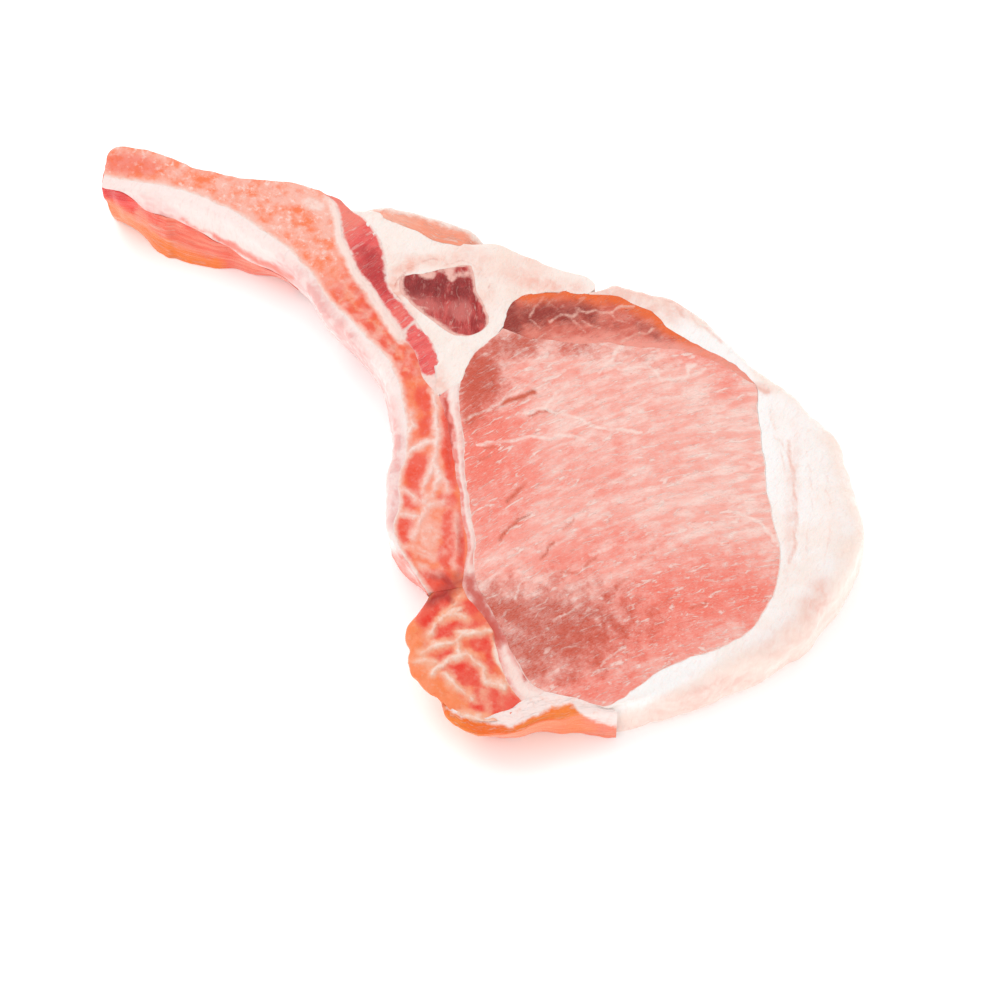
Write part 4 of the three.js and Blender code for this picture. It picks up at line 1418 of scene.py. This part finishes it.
rib_near = walk(RIB_NEAR, RIB_STEPS)
rib_far = walk(BONE_FAR, RIB_STEPS, stop=RIB_LAST)
rib_left = left_of(rib_near)
rib_x = rib_near[:, 0]
rib_flare = RIB_FLARE * (ease(*FLARE_START, rib_x) - ease(*FLARE_STOP, rib_x))
rib_tip = TIP_UNDERCUT * (1.0 - ease(*TIP_SPAN, rib_x))
rib_tuck = RIB_UNDERCUT * (ease(*TUCK_START, rib_x) - ease(*TUCK_STOP, rib_x))
rib_lean = rib_tip + rib_tuck - rib_flare
lining_width = LINING_WIDTH * (1.0 - NARROWING * ease(*NARROW_SPAN, np.linspace(0.0, 1.0, RIB_STEPS + 1)))
lining_outer = rib_near - rib_left * lining_width[:, None]


def rib_floor(plan):
    """Height of the rib's underside: level over the meat of the tip half, higher at the very tip, and eased
    down to the table towards the middle."""
    level = MEAT_HEIGHT * (1.0 - ease(*MEAT_SPAN, plan[:, 0]))
    return level + TIP_RISE * (1.0 - ease(*RISE_SPAN, plan[:, 0]))


def lean_side(shape, height, share):
    """Plan of the rib's side: pushed along the left of the near line by the lean, times the share, times the
    depth below the face to the power of one and a half."""
    low = np.maximum(0.0, 1.0 - height / CUT_HEIGHT) ** 1.5
    return shape.plan + rib_left[shape.step] * (rib_lean[shape.step] * low * share)[:, None]


print("the lining is", LINING_WIDTH, "mm wide and the rib", RIB_STEPS, "steps long")

# %% Marks of the rib
RIB_WALLS = [
    (1.0, [(435, 393), (436, 410), (437, 430), (436, 447), (434, 460), (437, 473), (440, 480), (447, 483)]),
    (1.0, [(408, 452), (415, 447), (425, 442), (433, 439)]),
    (0.8, [(402, 490), (412, 495), (422, 502), (428, 505)]),
    (0.8, [(400, 513), (408, 513), (418, 515)]), (0.9, [(413, 537), (417, 523), (422, 515), (428, 510)]),
    (0.7, [(398, 547), (408, 545), (418, 547), (428, 553)]), (0.9, [(435, 460), (425, 480), (422, 493)]),
    (0.7, [(455, 513), (455, 533), (454, 553), (455, 567)]), (0.6, [(440, 477), (443, 493), (447, 507)]),
    (0.6, [(418, 553), (430, 557), (442, 553)]), (0.6, [(422, 567), (432, 570), (442, 573)]),
    (0.8, [(404, 408), (411, 413), (414, 424), (408, 432)]), (1.0, [(424, 501), (432, 497), (440, 478)]),
    (1.0, [(427, 508), (436, 504), (445, 502)]), (0.9, [(440, 474), (446, 484), (446, 494)]),
]
RIB_RUNGS = [
    (0.80, [(309, 262), (321, 262), (333, 254), (343, 246)]), (0.75, [(320, 274), (336, 270), (352, 260)]),
    (0.80, [(327, 289), (344, 286), (360, 276)]), (0.80, [(337, 307), (350, 303), (363, 291)]),
    (0.80, [(351, 321), (366, 317), (378, 306)]), (0.85, [(366, 338), (378, 335), (388, 324)]),
    (0.80, [(380, 353), (393, 348), (402, 337)]), (0.80, [(391, 370), (404, 364), (413, 352)]),
    (0.75, [(399, 386), (410, 380), (421, 374)]),
]
RIB_PALE = [(430, 533, 14, 20, 0, 0.48), (314, 204, 14, 7, 20, 0.75), (410, 420, 5, 9, 0, 0.6)]
RIB_CLOSE = [(130, 165, 34, 12, 8, 1.0)]
RIB_BEADS = [
    (312, 263, 10), (321, 277, 12), (333, 293, 13), (346, 309, 11), (356, 321, 12), (368, 331, 10),
    (378, 341, 12), (387, 353, 10), (394, 366, 12), (403, 379, 10), (336, 257, 13), (349, 274, 12),
    (356, 288, 9), (364, 301, 12), (377, 313, 11), (387, 325, 9), (396, 336, 12), (406, 348, 10),
    (411, 361, 11), (416, 374, 9), (408, 392, 11),
]
RIB_MARROW = [
    (418, 470, 15, 16, 0, 0.9), (411, 498, 11, 13, 0, 0.9), (406, 528, 9, 14, 0, 1.2),
    (405, 556, 6, 6, 0, 0.8), (447, 440, 6, 30, -4, 1.1), (459, 540, 5, 28, -3, 1.2),
    (435, 580, 18, 10, 0, 1.2), (424, 400, 8, 15, -25, 0.8), (426, 424, 8, 14, 20, 0.7),
    (447, 552, 9, 15, 5, 1.0), (448, 500, 9, 7, 0, 0.9), (444, 592, 12, 12, -30, 1.2),
    (132, 164, 34, 11, 8, 0.45), (449, 530, 7, 22, 0, 1.0), (450, 470, 6, 22, 0, 0.9),
]
# Crevices in the rib: cut a little into the face and painted dark with shade.
RIB_CREVICE = [
    (450, 583, 4, 12, -48, 0.7), (436, 577, 8, 3, 10, 0.4), (457, 576, 5, 4, -40, 0.5),
    (448, 440, 2, 26, -4, 0.2), (460, 540, 3, 22, -3, 0.25),
]
# A crevice across the bone's neck: cut a little into the face and painted dark with shade.
NECK_LINE = [(1.0, [(412, 602), (424, 600), (436, 596), (447, 590), (460, 580)])]
print("rib marks:", len(RIB_WALLS), "walls,", len(RIB_BEADS), "beads")

# %% Walls, beads and rungs of the rib
RIB_ACROSS, RIB_UP = 40, 6
CELL_WALL_REACH = 9.0
NECK_REACH = 12.0
PATCH_CELL = 22.0
CORTEX_WIDTH, CORTEX_FADE = 3.4, 2.0
CORTEX_START, CORTEX_STOP = (5.4, 6.4), (10.0, 11.0)
BEADS_START, CELLS_START = (7.0, 8.0), (11.6, 12.4)
NEAR_WALL_WIDTH = 1.8

rib = block(rib_near, rib_far, RIB_ACROSS, RIB_UP)
rib.plan = drift(rib.plan)
rib_spot = photo_place(rib.plan)
rib_edge = (1.0 - rib.v) * rib.width
point = rib.step / RIB_STEPS * RIB_LAST
cortex = np.clip((CORTEX_WIDTH - rib_edge) / CORTEX_FADE, 0.0, 1.0)
cortex *= ease(*CORTEX_START, point)
cortex *= 1.0 - ease(*CORTEX_STOP, point)
near_edge = rib.v * rib.width
near_wall = 0.9 * slope_in(near_edge, NEAR_WALL_WIDTH)
lower = ease(*CELLS_START, point)
beads = domes(rib_spot, RIB_BEADS)
beaded = ease(*BEADS_START, point) * (1.0 - lower)
patchy = 0.82 + 0.3 * rough_cloud(rib_spot, PATCH_CELL, 34)
drawn_walls = closeness(rib_spot, RIB_WALLS, CELL_WALL_REACH) * patchy
drawn_walls = np.maximum(drawn_walls, blots(rib_spot, RIB_PALE, 0.5))
rungs = 0.5 * beaded * closeness(rib_spot, RIB_RUNGS, CELL_WALL_REACH)
between = np.maximum(rungs, 0.3 * beaded * (1.0 - beads * beads))
rib_wall = np.maximum(np.maximum(cortex, near_wall), np.maximum(drawn_walls, between))
neck_crevice_shade = 0.7 * closeness(rib_spot, NECK_LINE, NECK_REACH)
rib_crevice = np.maximum(blots(rib_spot, RIB_CREVICE, 0.6), neck_crevice_shade)
covered = (beads[rib.w == 1.0] > 0.0).mean()
print("beads cover", round(100 * float(covered)), "percent of the rib's face")

# %% Rib
RIB_ROUGH, RIB_CELL = 0.2, 2.2
BEAD_RISE, RUNG_DEPTH = 0.45, 0.3
RIB_WALL_RISE, CREVICE_DEPTH = 0.3, 0.6
WALL_EDGE = (0.4, 0.8)
BONE_MARGIN = 1.3
SPONGE_STOP = (6.5, 8.5)
rib_relief = RIB_ROUGH * rough_cloud(rib.plan, RIB_CELL, 17) + BEAD_RISE * beads * beaded
rib_relief -= RUNG_DEPTH * ease(0.1, 0.4, rungs)
rib_relief += RIB_WALL_RISE * lower * ease(*WALL_EDGE, rib_wall) - CREVICE_DEPTH * rib_crevice
inside = ease(0.0, BONE_MARGIN, near_edge) * ease(0.0, BONE_MARGIN, rib_edge)
rib_relief *= inside * (1.0 - ease(0.97, 1.0, rib.u))
rib_top = cut_face(rib.plan) + lumps(rib.plan) + rib_relief
rib_bottom = rib_floor(rib.plan)
rib_height = rib_bottom + (rib_top - rib_bottom) * rib.w
rib.plan = lean_side(rib, rib_height, 0.75 * (1.0 - rib.v))
rib_spongy = 0.9 * (1.0 - ease(*SPONGE_STOP, point)) + 0.12 * beaded + 0.15 * lower
rib_spongy -= 0.5 * blots(rib_spot, RIB_CLOSE, 0.6)
rib_back = ease(0.96, 1.0, rib.v) * (1.0 - ease(0.7, 1.0, rib.w))
make_piece(
    "sawn_rib", ["rib_bone"], "bone", RIB, tuck_sides(rib.plan, rib_height), rib.faces,
    wall=np.maximum(rib_wall, rib_back), crevice=rib_crevice, spongy=rib_spongy * (1.0 - rib_back),
    marrow=blots(rib_spot, RIB_MARROW, 0.5) + 0.6 * beaded * ease(0.0, 0.9, beads) + 0.15,
)

# %% [markdown]
# ## The lining of the rib and the meat under its tip
#
# A smooth white skin covers the rib's near side, with red bands of meat showing through it and a pink line
# at its foot. Under the tip half it ends above a flap of red meat, whose lower margin is orange. Colour on
# the rib's side could stand for both, but they are layers that show, so both are blocks that follow the same
# leaning side. Their marks lie on that side, so they are placed by where the side itself shows.

# %% Rib lining
LINING_RED = [
    (0.95, [(214, 236), (240, 250), (265, 264), (292, 279)]), (0.80, [(222, 250), (250, 264), (285, 281)]),
    (0.70, [(180, 218), (200, 228), (216, 237)]),
]
LINING_PINK = [
    (1.00, [(280, 267), (312, 292), (330, 320), (355, 352), (380, 395), (395, 440)]),
    (0.75, [(140, 205), (175, 222)]), (0.70, [(395, 440), (398, 480), (394, 520)]),
]
NECK_RED = [(1.0, [(394, 560), (402, 574), (416, 592), (428, 606)])]
LINING = fat_finish(
    "White lining", white=seen(254, 240, 235), cream=seen(252, 226, 219), pink=seen(242, 190, 185),
    red=seen(246, 128, 110), gloss=0.5,
)
LINING_ACROSS, LINING_UP = 8, 24
BAND_REACH, NECK_RED_REACH, PINK_REACH = 9.0, 26.0, 14.0
TIP_ROUND, ROUND_GAIN, ROUND_SPAN = 0.2, 1.4, (-99.0, -86.0)
LINING_SWELL, LINING_CELL = 0.25, 6.0
lining = block(lining_outer, rib_near, LINING_ACROSS, LINING_UP)
lining.plan = drift(lining.plan)
lining_edge = lining.v * lining.width
lining_top = cut_face(lining.plan) + lumps(lining.plan)
lining_round = TIP_ROUND + ROUND_GAIN * ease(*ROUND_SPAN, lining.plan[:, 0])
lining_top -= rounded(lining_edge, np.minimum(lining_round, 0.8 * lining.width))
lining_bottom = rib_floor(lining.plan)
lining_height = lining_bottom + (lining_top - lining_bottom) * lining.w
side_place = np.column_stack([lining.u * lining.length, lining_height])
side_swell = LINING_SWELL * cloud(side_place, LINING_CELL, 18) * (1.0 - lining.v)
lining.plan = lining.plan - rib_left[lining.step] * side_swell[:, None]
lining.plan = lean_side(lining, lining_height, 1.0 - 0.25 * lining.v)
lining_points = tuck_sides(lining.plan, lining_height)
lining_spot = pixel_of(lining_points)
red_bands = closeness(lining_spot, LINING_RED, BAND_REACH)
red_neck = closeness(lining_spot, NECK_RED, NECK_RED_REACH)
make_piece(
    "rib_skin", ["rib_lining"], "membrane", LINING, lining_points, lining.faces,
    wall=0.3 * (1.0 - lining.w), red=np.maximum(red_bands, red_neck),
    pink=1.2 * closeness(lining_spot, LINING_PINK, PINK_REACH),
)

# %% Rib end meat
MEAT_RED = [(116, 200, 22, 12, 28, 1.4), (150, 214, 22, 6, 38, 0.5), (187, 224, 8, 5, 35, 0.6)]
MEAT_DEEP = [(114, 193, 16, 6, 24, 1.0)]
MEAT_ORANGE = [
    (1.0, [(106, 212), (118, 219), (132, 229), (146, 240), (162, 249), (176, 259), (198, 266), (214, 268)]),
]
MEAT = lean_finish(
    "Rib end lean", pale=seen(253, 160, 134), streak=seen(247, 112, 90), warm=seen(252, 138, 62),
    deep=seen(226, 20, 10), slit=seen(240, 90, 60), fat=seen(254, 204, 188), fibre=(10.0, 1.5), flecks=0.4,
    fade=seen(249, 76, 40), gloss=0.34,
)
TIP_STEPS, MEAT_ACROSS, MEAT_UP = 118, 20, 18
MEAT_LEAST = 0.02
MEAT_SWELL, MEAT_CELL = 0.4, 4.0
ORANGE_REACH = 16.0
meat = block(lining_outer[: TIP_STEPS + 1], rib_far[: TIP_STEPS + 1], MEAT_ACROSS, MEAT_UP)
meat.plan = drift(meat.plan)
meat_height = (rib_floor(meat.plan) + MEAT_LEAST) * meat.w
meat_place = np.column_stack([meat.u * meat.length, meat_height])
meat_swell = MEAT_SWELL * cloud(meat_place, MEAT_CELL, 21) * (1.0 - meat.v)
meat.plan = meat.plan - rib_left[meat.step] * meat_swell[:, None]
meat.plan = lean_side(meat, meat_height, 1.0 - meat.v)
meat_points = tuck_sides(meat.plan, meat_height)
meat_spot = pixel_of(meat_points)
make_piece(
    "rib_end_meat", ["rib_meat"], "lean", MEAT, meat_points, meat.faces,
    fibre=np.column_stack([meat.u * meat.length, meat_height, meat.v * meat.width]),
    warm=1.6 * closeness(meat_spot, MEAT_ORANGE, ORANGE_REACH), deep=blots(meat_spot, MEAT_DEEP, 0.5),
    fade=blots(meat_spot, MEAT_RED, 0.6),
)

# %% [markdown]
# ## The chine
#
# The foot is part of the backbone: cells of red marrow of all sizes between white walls, pale orange at its
# left margin, and white towards the eye. A strip of orange lean goes along its front edge, narrows at both
# ends and is white with fat along its inner border. The two could be one piece with two finishes, but bone
# and lean part there, so each is a block of its own.

# %% Marks of the chine
CHINE_WALLS = [
    (0.8, [(428, 637), (433, 627), (445, 617), (457, 600), (462, 592)]),
    (0.9, [(445, 617), (457, 615), (465, 618)]),
    (0.9, [(420, 652), (430, 647), (443, 643), (457, 640), (462, 633), (477, 633), (490, 630)]),
    (1.0, [(457, 640), (458, 652), (463, 655), (472, 657)]),
    (1.0, [(433, 673), (440, 665), (450, 660), (463, 655)]),
    (1.0, [(472, 657), (482, 668), (485, 680), (497, 683), (505, 687)]),
    (0.9, [(445, 675), (457, 687), (468, 695), (473, 700)]),
    (1.0, [(460, 715), (470, 717), (483, 720), (497, 725), (513, 727), (522, 720), (533, 713), (550, 705)]),
    (0.8, [(410, 662), (423, 660), (433, 662)]), (0.5, [(485, 690), (487, 720)]),
    (0.4, [(503, 693), (503, 720)]),
]
CHINE_PALE = [
    (453, 612, 13, 4, -25, 0.7), (468, 632, 14, 4, 0, 0.7), (503, 660, 7, 22, -25, 1.0),
    (517, 680, 10, 22, -35, 1.0), (540, 693, 22, 10, 0, 0.85),
]
CHINE_MARROW = [
    (465, 668, 25, 12, 20, 1.5), (470, 607, 12, 6, 0, 0.8), (443, 630, 12, 7, -20, 0.9),
    (462, 627, 15, 6, 0, 0.7), (480, 643, 10, 8, 0, 0.9), (493, 655, 7, 9, 0, 0.6),
    (497, 700, 20, 14, 0, 1.5), (480, 703, 10, 10, 0, 0.9), (426, 612, 10, 15, 25, 0.9),
    (438, 600, 9, 11, 30, 1.0),
]
CHINE_ORANGE = [(412, 643, 10, 14, 0, 0.5), (423, 673, 14, 14, 0, 0.5), (440, 697, 16, 16, 0, 0.5)]
# Crevices in the chine: cut a little into the face and painted dark with shade.
CHINE_CREVICE = [(445, 594, 4, 10, -45, 0.5), (480, 606, 3, 9, -30, 0.5), (496, 637, 3, 6, 0, 0.5)]
print("chine marks:", len(CHINE_WALLS), "walls,", len(CHINE_MARROW), "cells")

# %% Cells of the chine
CHINE_ALONG, CHINE_ACROSS, CHINE_UP = 130, 70, 16
CHINE_WALL_REACH = 10.0
NECK_LAP, LAP_SHARE = 1.2, (0.0, 0.03)

chine_line = even_walk(CHINE_NEAR, CHINE_ALONG)
chine = block(chine_line, even_walk(BONE_FAR, CHINE_ALONG, RIB_LAST), CHINE_ACROSS, CHINE_UP)
toward_rib = (chine_line[0] - chine_line[3]) / np.linalg.norm(chine_line[0] - chine_line[3])
neck_lap = NECK_LAP * (1.0 - ease(*LAP_SHARE, chine.u))
chine.plan = drift(chine.plan + neck_lap[:, None] * toward_rib)
chine_spot = photo_place(chine.plan)
chine_rim = chine.v * chine.width
patchy = 0.78 + 0.35 * rough_cloud(chine_spot, PATCH_CELL, 35)
chine_wall = closeness(chine_spot, CHINE_WALLS, CHINE_WALL_REACH) * patchy
chine_wall = np.maximum(chine_wall, blots(chine_spot, CHINE_PALE, 0.5))
neck_crevice_shade = 0.7 * closeness(chine_spot, NECK_LINE, NECK_REACH)
chine_crevice = np.maximum(blots(chine_spot, CHINE_CREVICE, 0.5), neck_crevice_shade)
walled = (chine_wall[chine.w == 1.0] > 0.7).mean()
print("white walls cover", round(100 * float(walled)), "percent of the foot's face")

# %% Chine
CHINE_ROUGH, CHINE_CELL = 0.25, 2.4
CHINE_WALL_RISE = 0.35
CHINE_ROUND, FRONT_STOP = 1.5, (0.5, 0.62)
UPPER_LOBE, LOWER_LOBE, CLEFT = (0.2, 0.07), (0.42, 0.07), (0.31, 0.035)
LOBE_SWELL, CLEFT_SHARE = 0.9, 0.7
FRONT_SWELL, FRONT_CELL = 0.4, 5.0
chine_relief = CHINE_ROUGH * rough_cloud(chine.plan, CHINE_CELL, 22)
chine_relief += CHINE_WALL_RISE * ease(*WALL_EDGE, chine_wall) - CREVICE_DEPTH * chine_crevice
chine_relief *= ease(0.0, BONE_MARGIN, (1.0 - chine.v) * chine.width) * ease(0.0, 0.04, chine.u)
chine_top = cut_face(chine.plan) + lumps(chine.plan) + chine_relief
chine_top -= rounded(chine_rim, 0.1 + CHINE_ROUND * (1.0 - ease(*FRONT_STOP, chine.u)))
chine_top -= 0.2 * (1.0 - ease(0.0, 0.02, chine.u))
chine_height = chine_top * chine.w
front_place = np.column_stack([chine.u * chine.length, chine_height])
lobes = bump_at(chine.u, *UPPER_LOBE) + bump_at(chine.u, *LOWER_LOBE) - CLEFT_SHARE * bump_at(chine.u, *CLEFT)
front_swell = FRONT_SWELL * cloud(front_place, FRONT_CELL, 23) + LOBE_SWELL * lobes
front_swell *= 1.0 - ease(0.0, 0.14, chine.v)
chine.plan = chine.plan - left_of(chine_line)[chine.step] * front_swell[:, None]
front = (1.0 - ease(0.4, 2.6, chine_rim)) * (1.0 - ease(*FRONT_STOP, chine.u))
chine_marrow = blots(chine_spot, CHINE_MARROW, 0.5) - blots(chine_spot, CHINE_ORANGE, 0.6) - 0.3 * front
chine_marrow += 0.1 + 0.4 * ease(1.5, 5.0, chine_rim)
make_piece(
    "chine_foot", ["chine_bone"], "bone", CHINE, tuck_sides(chine.plan, chine_height), chine.faces,
    wall=chine_wall * (1.0 - 0.6 * front), crevice=chine_crevice, spongy=np.full(len(chine.u), 0.18),
    marrow=chine_marrow,
)

# %% Front edge strip
EDGE_RISE, EDGE_FALL = 0.1, 0.6
EDGE_TAPER = 4.0
EDGE_ROUND = 1.2
EDGE_UNDER, EDGE_BULGE, BULGE_PLACE = 0.8, 1.6, (0.42, 0.1)
EDGE_RIM = 0.78
EDGE_SOFTNESS = 14.0
EDGE_ALONG, EDGE_ACROSS, EDGE_UP = 110, 10, 16
BORDER_X = [440, 460, 487, 513, 527, 553, 573, 580, 597, 620]
BORDER_Y = [705, 716, 723, 727, 720, 707, 703, 713, 722, 727]
EDGE = lean_finish(
    "Front edge lean", pale=seen(253, 154, 86), streak=seen(249, 124, 58), warm=seen(250, 118, 44),
    deep=seen(250, 142, 120), slit=seen(206, 96, 70), fat=seen(255, 238, 232), fibre=(9.0, 1.6), flecks=0.25,
    rim=EDGE_RIM,
)
edge_inner = even_walk(EDGE_FAR, EDGE_ALONG)
edge_reach = EDGE_UNDER + EDGE_BULGE * bump_at(np.linspace(0.0, 1.0, EDGE_ALONG + 1), *BULGE_PLACE)
edge_inner = edge_inner + edge_reach[:, None] * left_of(edge_inner)
edge = block(even_walk(EDGE_NEAR, EDGE_ALONG), edge_inner, EDGE_ACROSS, EDGE_UP)
edge.plan = drift(edge.plan)
edge_near = edge.v * edge.width
edge_round = np.minimum(EDGE_ROUND, 0.8 * edge.width)
edge_top = cut_face(edge.plan) + lumps(edge.plan) - rounded(edge_near, edge_round)
edge_top += EDGE_RISE - EDGE_FALL * ease(0.9, 1.0, edge.u)
edge_top -= EDGE_TAPER * (1.0 - ease(0.0, 0.14, edge.u))
edge_height = edge_top * edge.w
edge_points = tuck_sides(edge.plan, edge_height)
edge_spot = pixel_of(edge_points)
edge_above = np.interp(edge_spot[:, 0], BORDER_X, BORDER_Y) - edge_spot[:, 1]
make_piece(
    "front_edge_strip", ["edge_strip"], "lean", EDGE, edge_points, edge.faces,
    fibre=np.column_stack([edge.u * edge.length, edge_height, edge_near]),
    rim=np.clip(EDGE_RIM + edge_above / EDGE_SOFTNESS, 0.0, 1.0) * ease(0.02, 0.12, edge.u),
    warm=0.9 * ease(0.2, 0.4, edge.u) * (1.0 - 0.6 * ease(0.4, 0.6, edge.u)),
    deep=0.8 * ease(0.75, 0.95, edge.u),
)

# %% [markdown]
# ## Table and light
#
# The photograph shows the chop on a white sheet under a large soft light, with hardly any shadow. A white
# world lights it from everywhere, and one wide lamp from behind on the left gives the wet faces a soft shine.
# Light from below fills the sides. A second lamp could give it, but here the sheet itself glows, and only for
# rays that don't come straight from the camera, so its own shade still shows. The plain display curve keeps
# white white.

# %% Sheet
TABLE_CLEARANCE = 0.0002
FLOOR_HALF = 3.0
SHEET_WHITE = (0.930, 0.940, 0.945, 1.0)
SHEET_ROUGHNESS = 0.8
SHEET_GLOW = 0.61
corners = np.array([[-1, -1], [1, -1], [1, 1], [-1, 1]]) * FLOOR_HALF
floor_mesh = bpy.data.meshes.new("table_top")
floor_mesh.from_pydata([(x, y, -TABLE_CLEARANCE) for x, y in corners], [], [(0, 1, 2, 3)])
floor = bpy.data.objects.new("table_top", floor_mesh)
bpy.context.scene.collection.objects.link(floor)
sheet, sheet_tree = start_finish("White sheet")
sheet_shader = put(sheet_tree, "BsdfPrincipled", {"Base Color": SHEET_WHITE, "Roughness": SHEET_ROUGHNESS})
sheet_shader.inputs["Emission Color"].default_value = (1.0, 1.0, 1.0, 1.0)
seen_straight = put(sheet_tree, "LightPath", {}).outputs["Is Camera Ray"]
glow = scaled(sheet_tree, seen_straight, -SHEET_GLOW, SHEET_GLOW)
sheet_tree.links.new(glow, sheet_shader.inputs["Emission Strength"])
put(sheet_tree, "OutputMaterial", {"Surface": sheet_shader.outputs[0]})
floor_mesh.materials.append(sheet)
print("sheet of", 2.0 * FLOOR_HALF, "m with a glow of", SHEET_GLOW)

# %% Room and lamp
ROOM_LIGHT = 1.3
LAMP_DISTANCE = 1.2
LAMP_SIZE = 0.7
LAMP_POWER = 4.0
LAMP_ACROSS, LAMP_AWAY = -0.5, 0.3

world = bpy.data.worlds.new("white_room")
world.use_nodes = True
world.node_tree.nodes.clear()
room = put(world.node_tree, "Background", {"Color": (1.0, 1.0, 1.0, 1.0), "Strength": ROOM_LIGHT})
put(world.node_tree, "OutputWorld", {"Surface": room.outputs[0]})
bpy.context.scene.world = world

lamp_way = LAMP_ACROSS * ACROSS + LAMP_AWAY * AWAY + np.array([0.0, 0.0, 1.0])
lamp_way = lamp_way / np.linalg.norm(lamp_way)
lamp_data = bpy.data.lights.new("soft_lamp", "AREA")
lamp_data.shape = "DISK"
lamp_data.size = LAMP_SIZE
lamp_data.energy = LAMP_POWER
lamp = bpy.data.objects.new("soft_lamp", lamp_data)
lamp.location = AIM * MM + LAMP_DISTANCE * lamp_way
tilt = np.arccos(lamp_way[2])
lamp.rotation_euler = (tilt, 0.0, np.arctan2(lamp_way[0], -lamp_way[1]))
bpy.context.scene.collection.objects.link(lamp)

bpy.context.scene.view_settings.view_transform = "Standard"
bpy.context.scene.view_settings.look = "None"
print("lamp", round(LAMP_DISTANCE, 2), "m away, tilted", round(float(np.degrees(tilt))), "degrees")
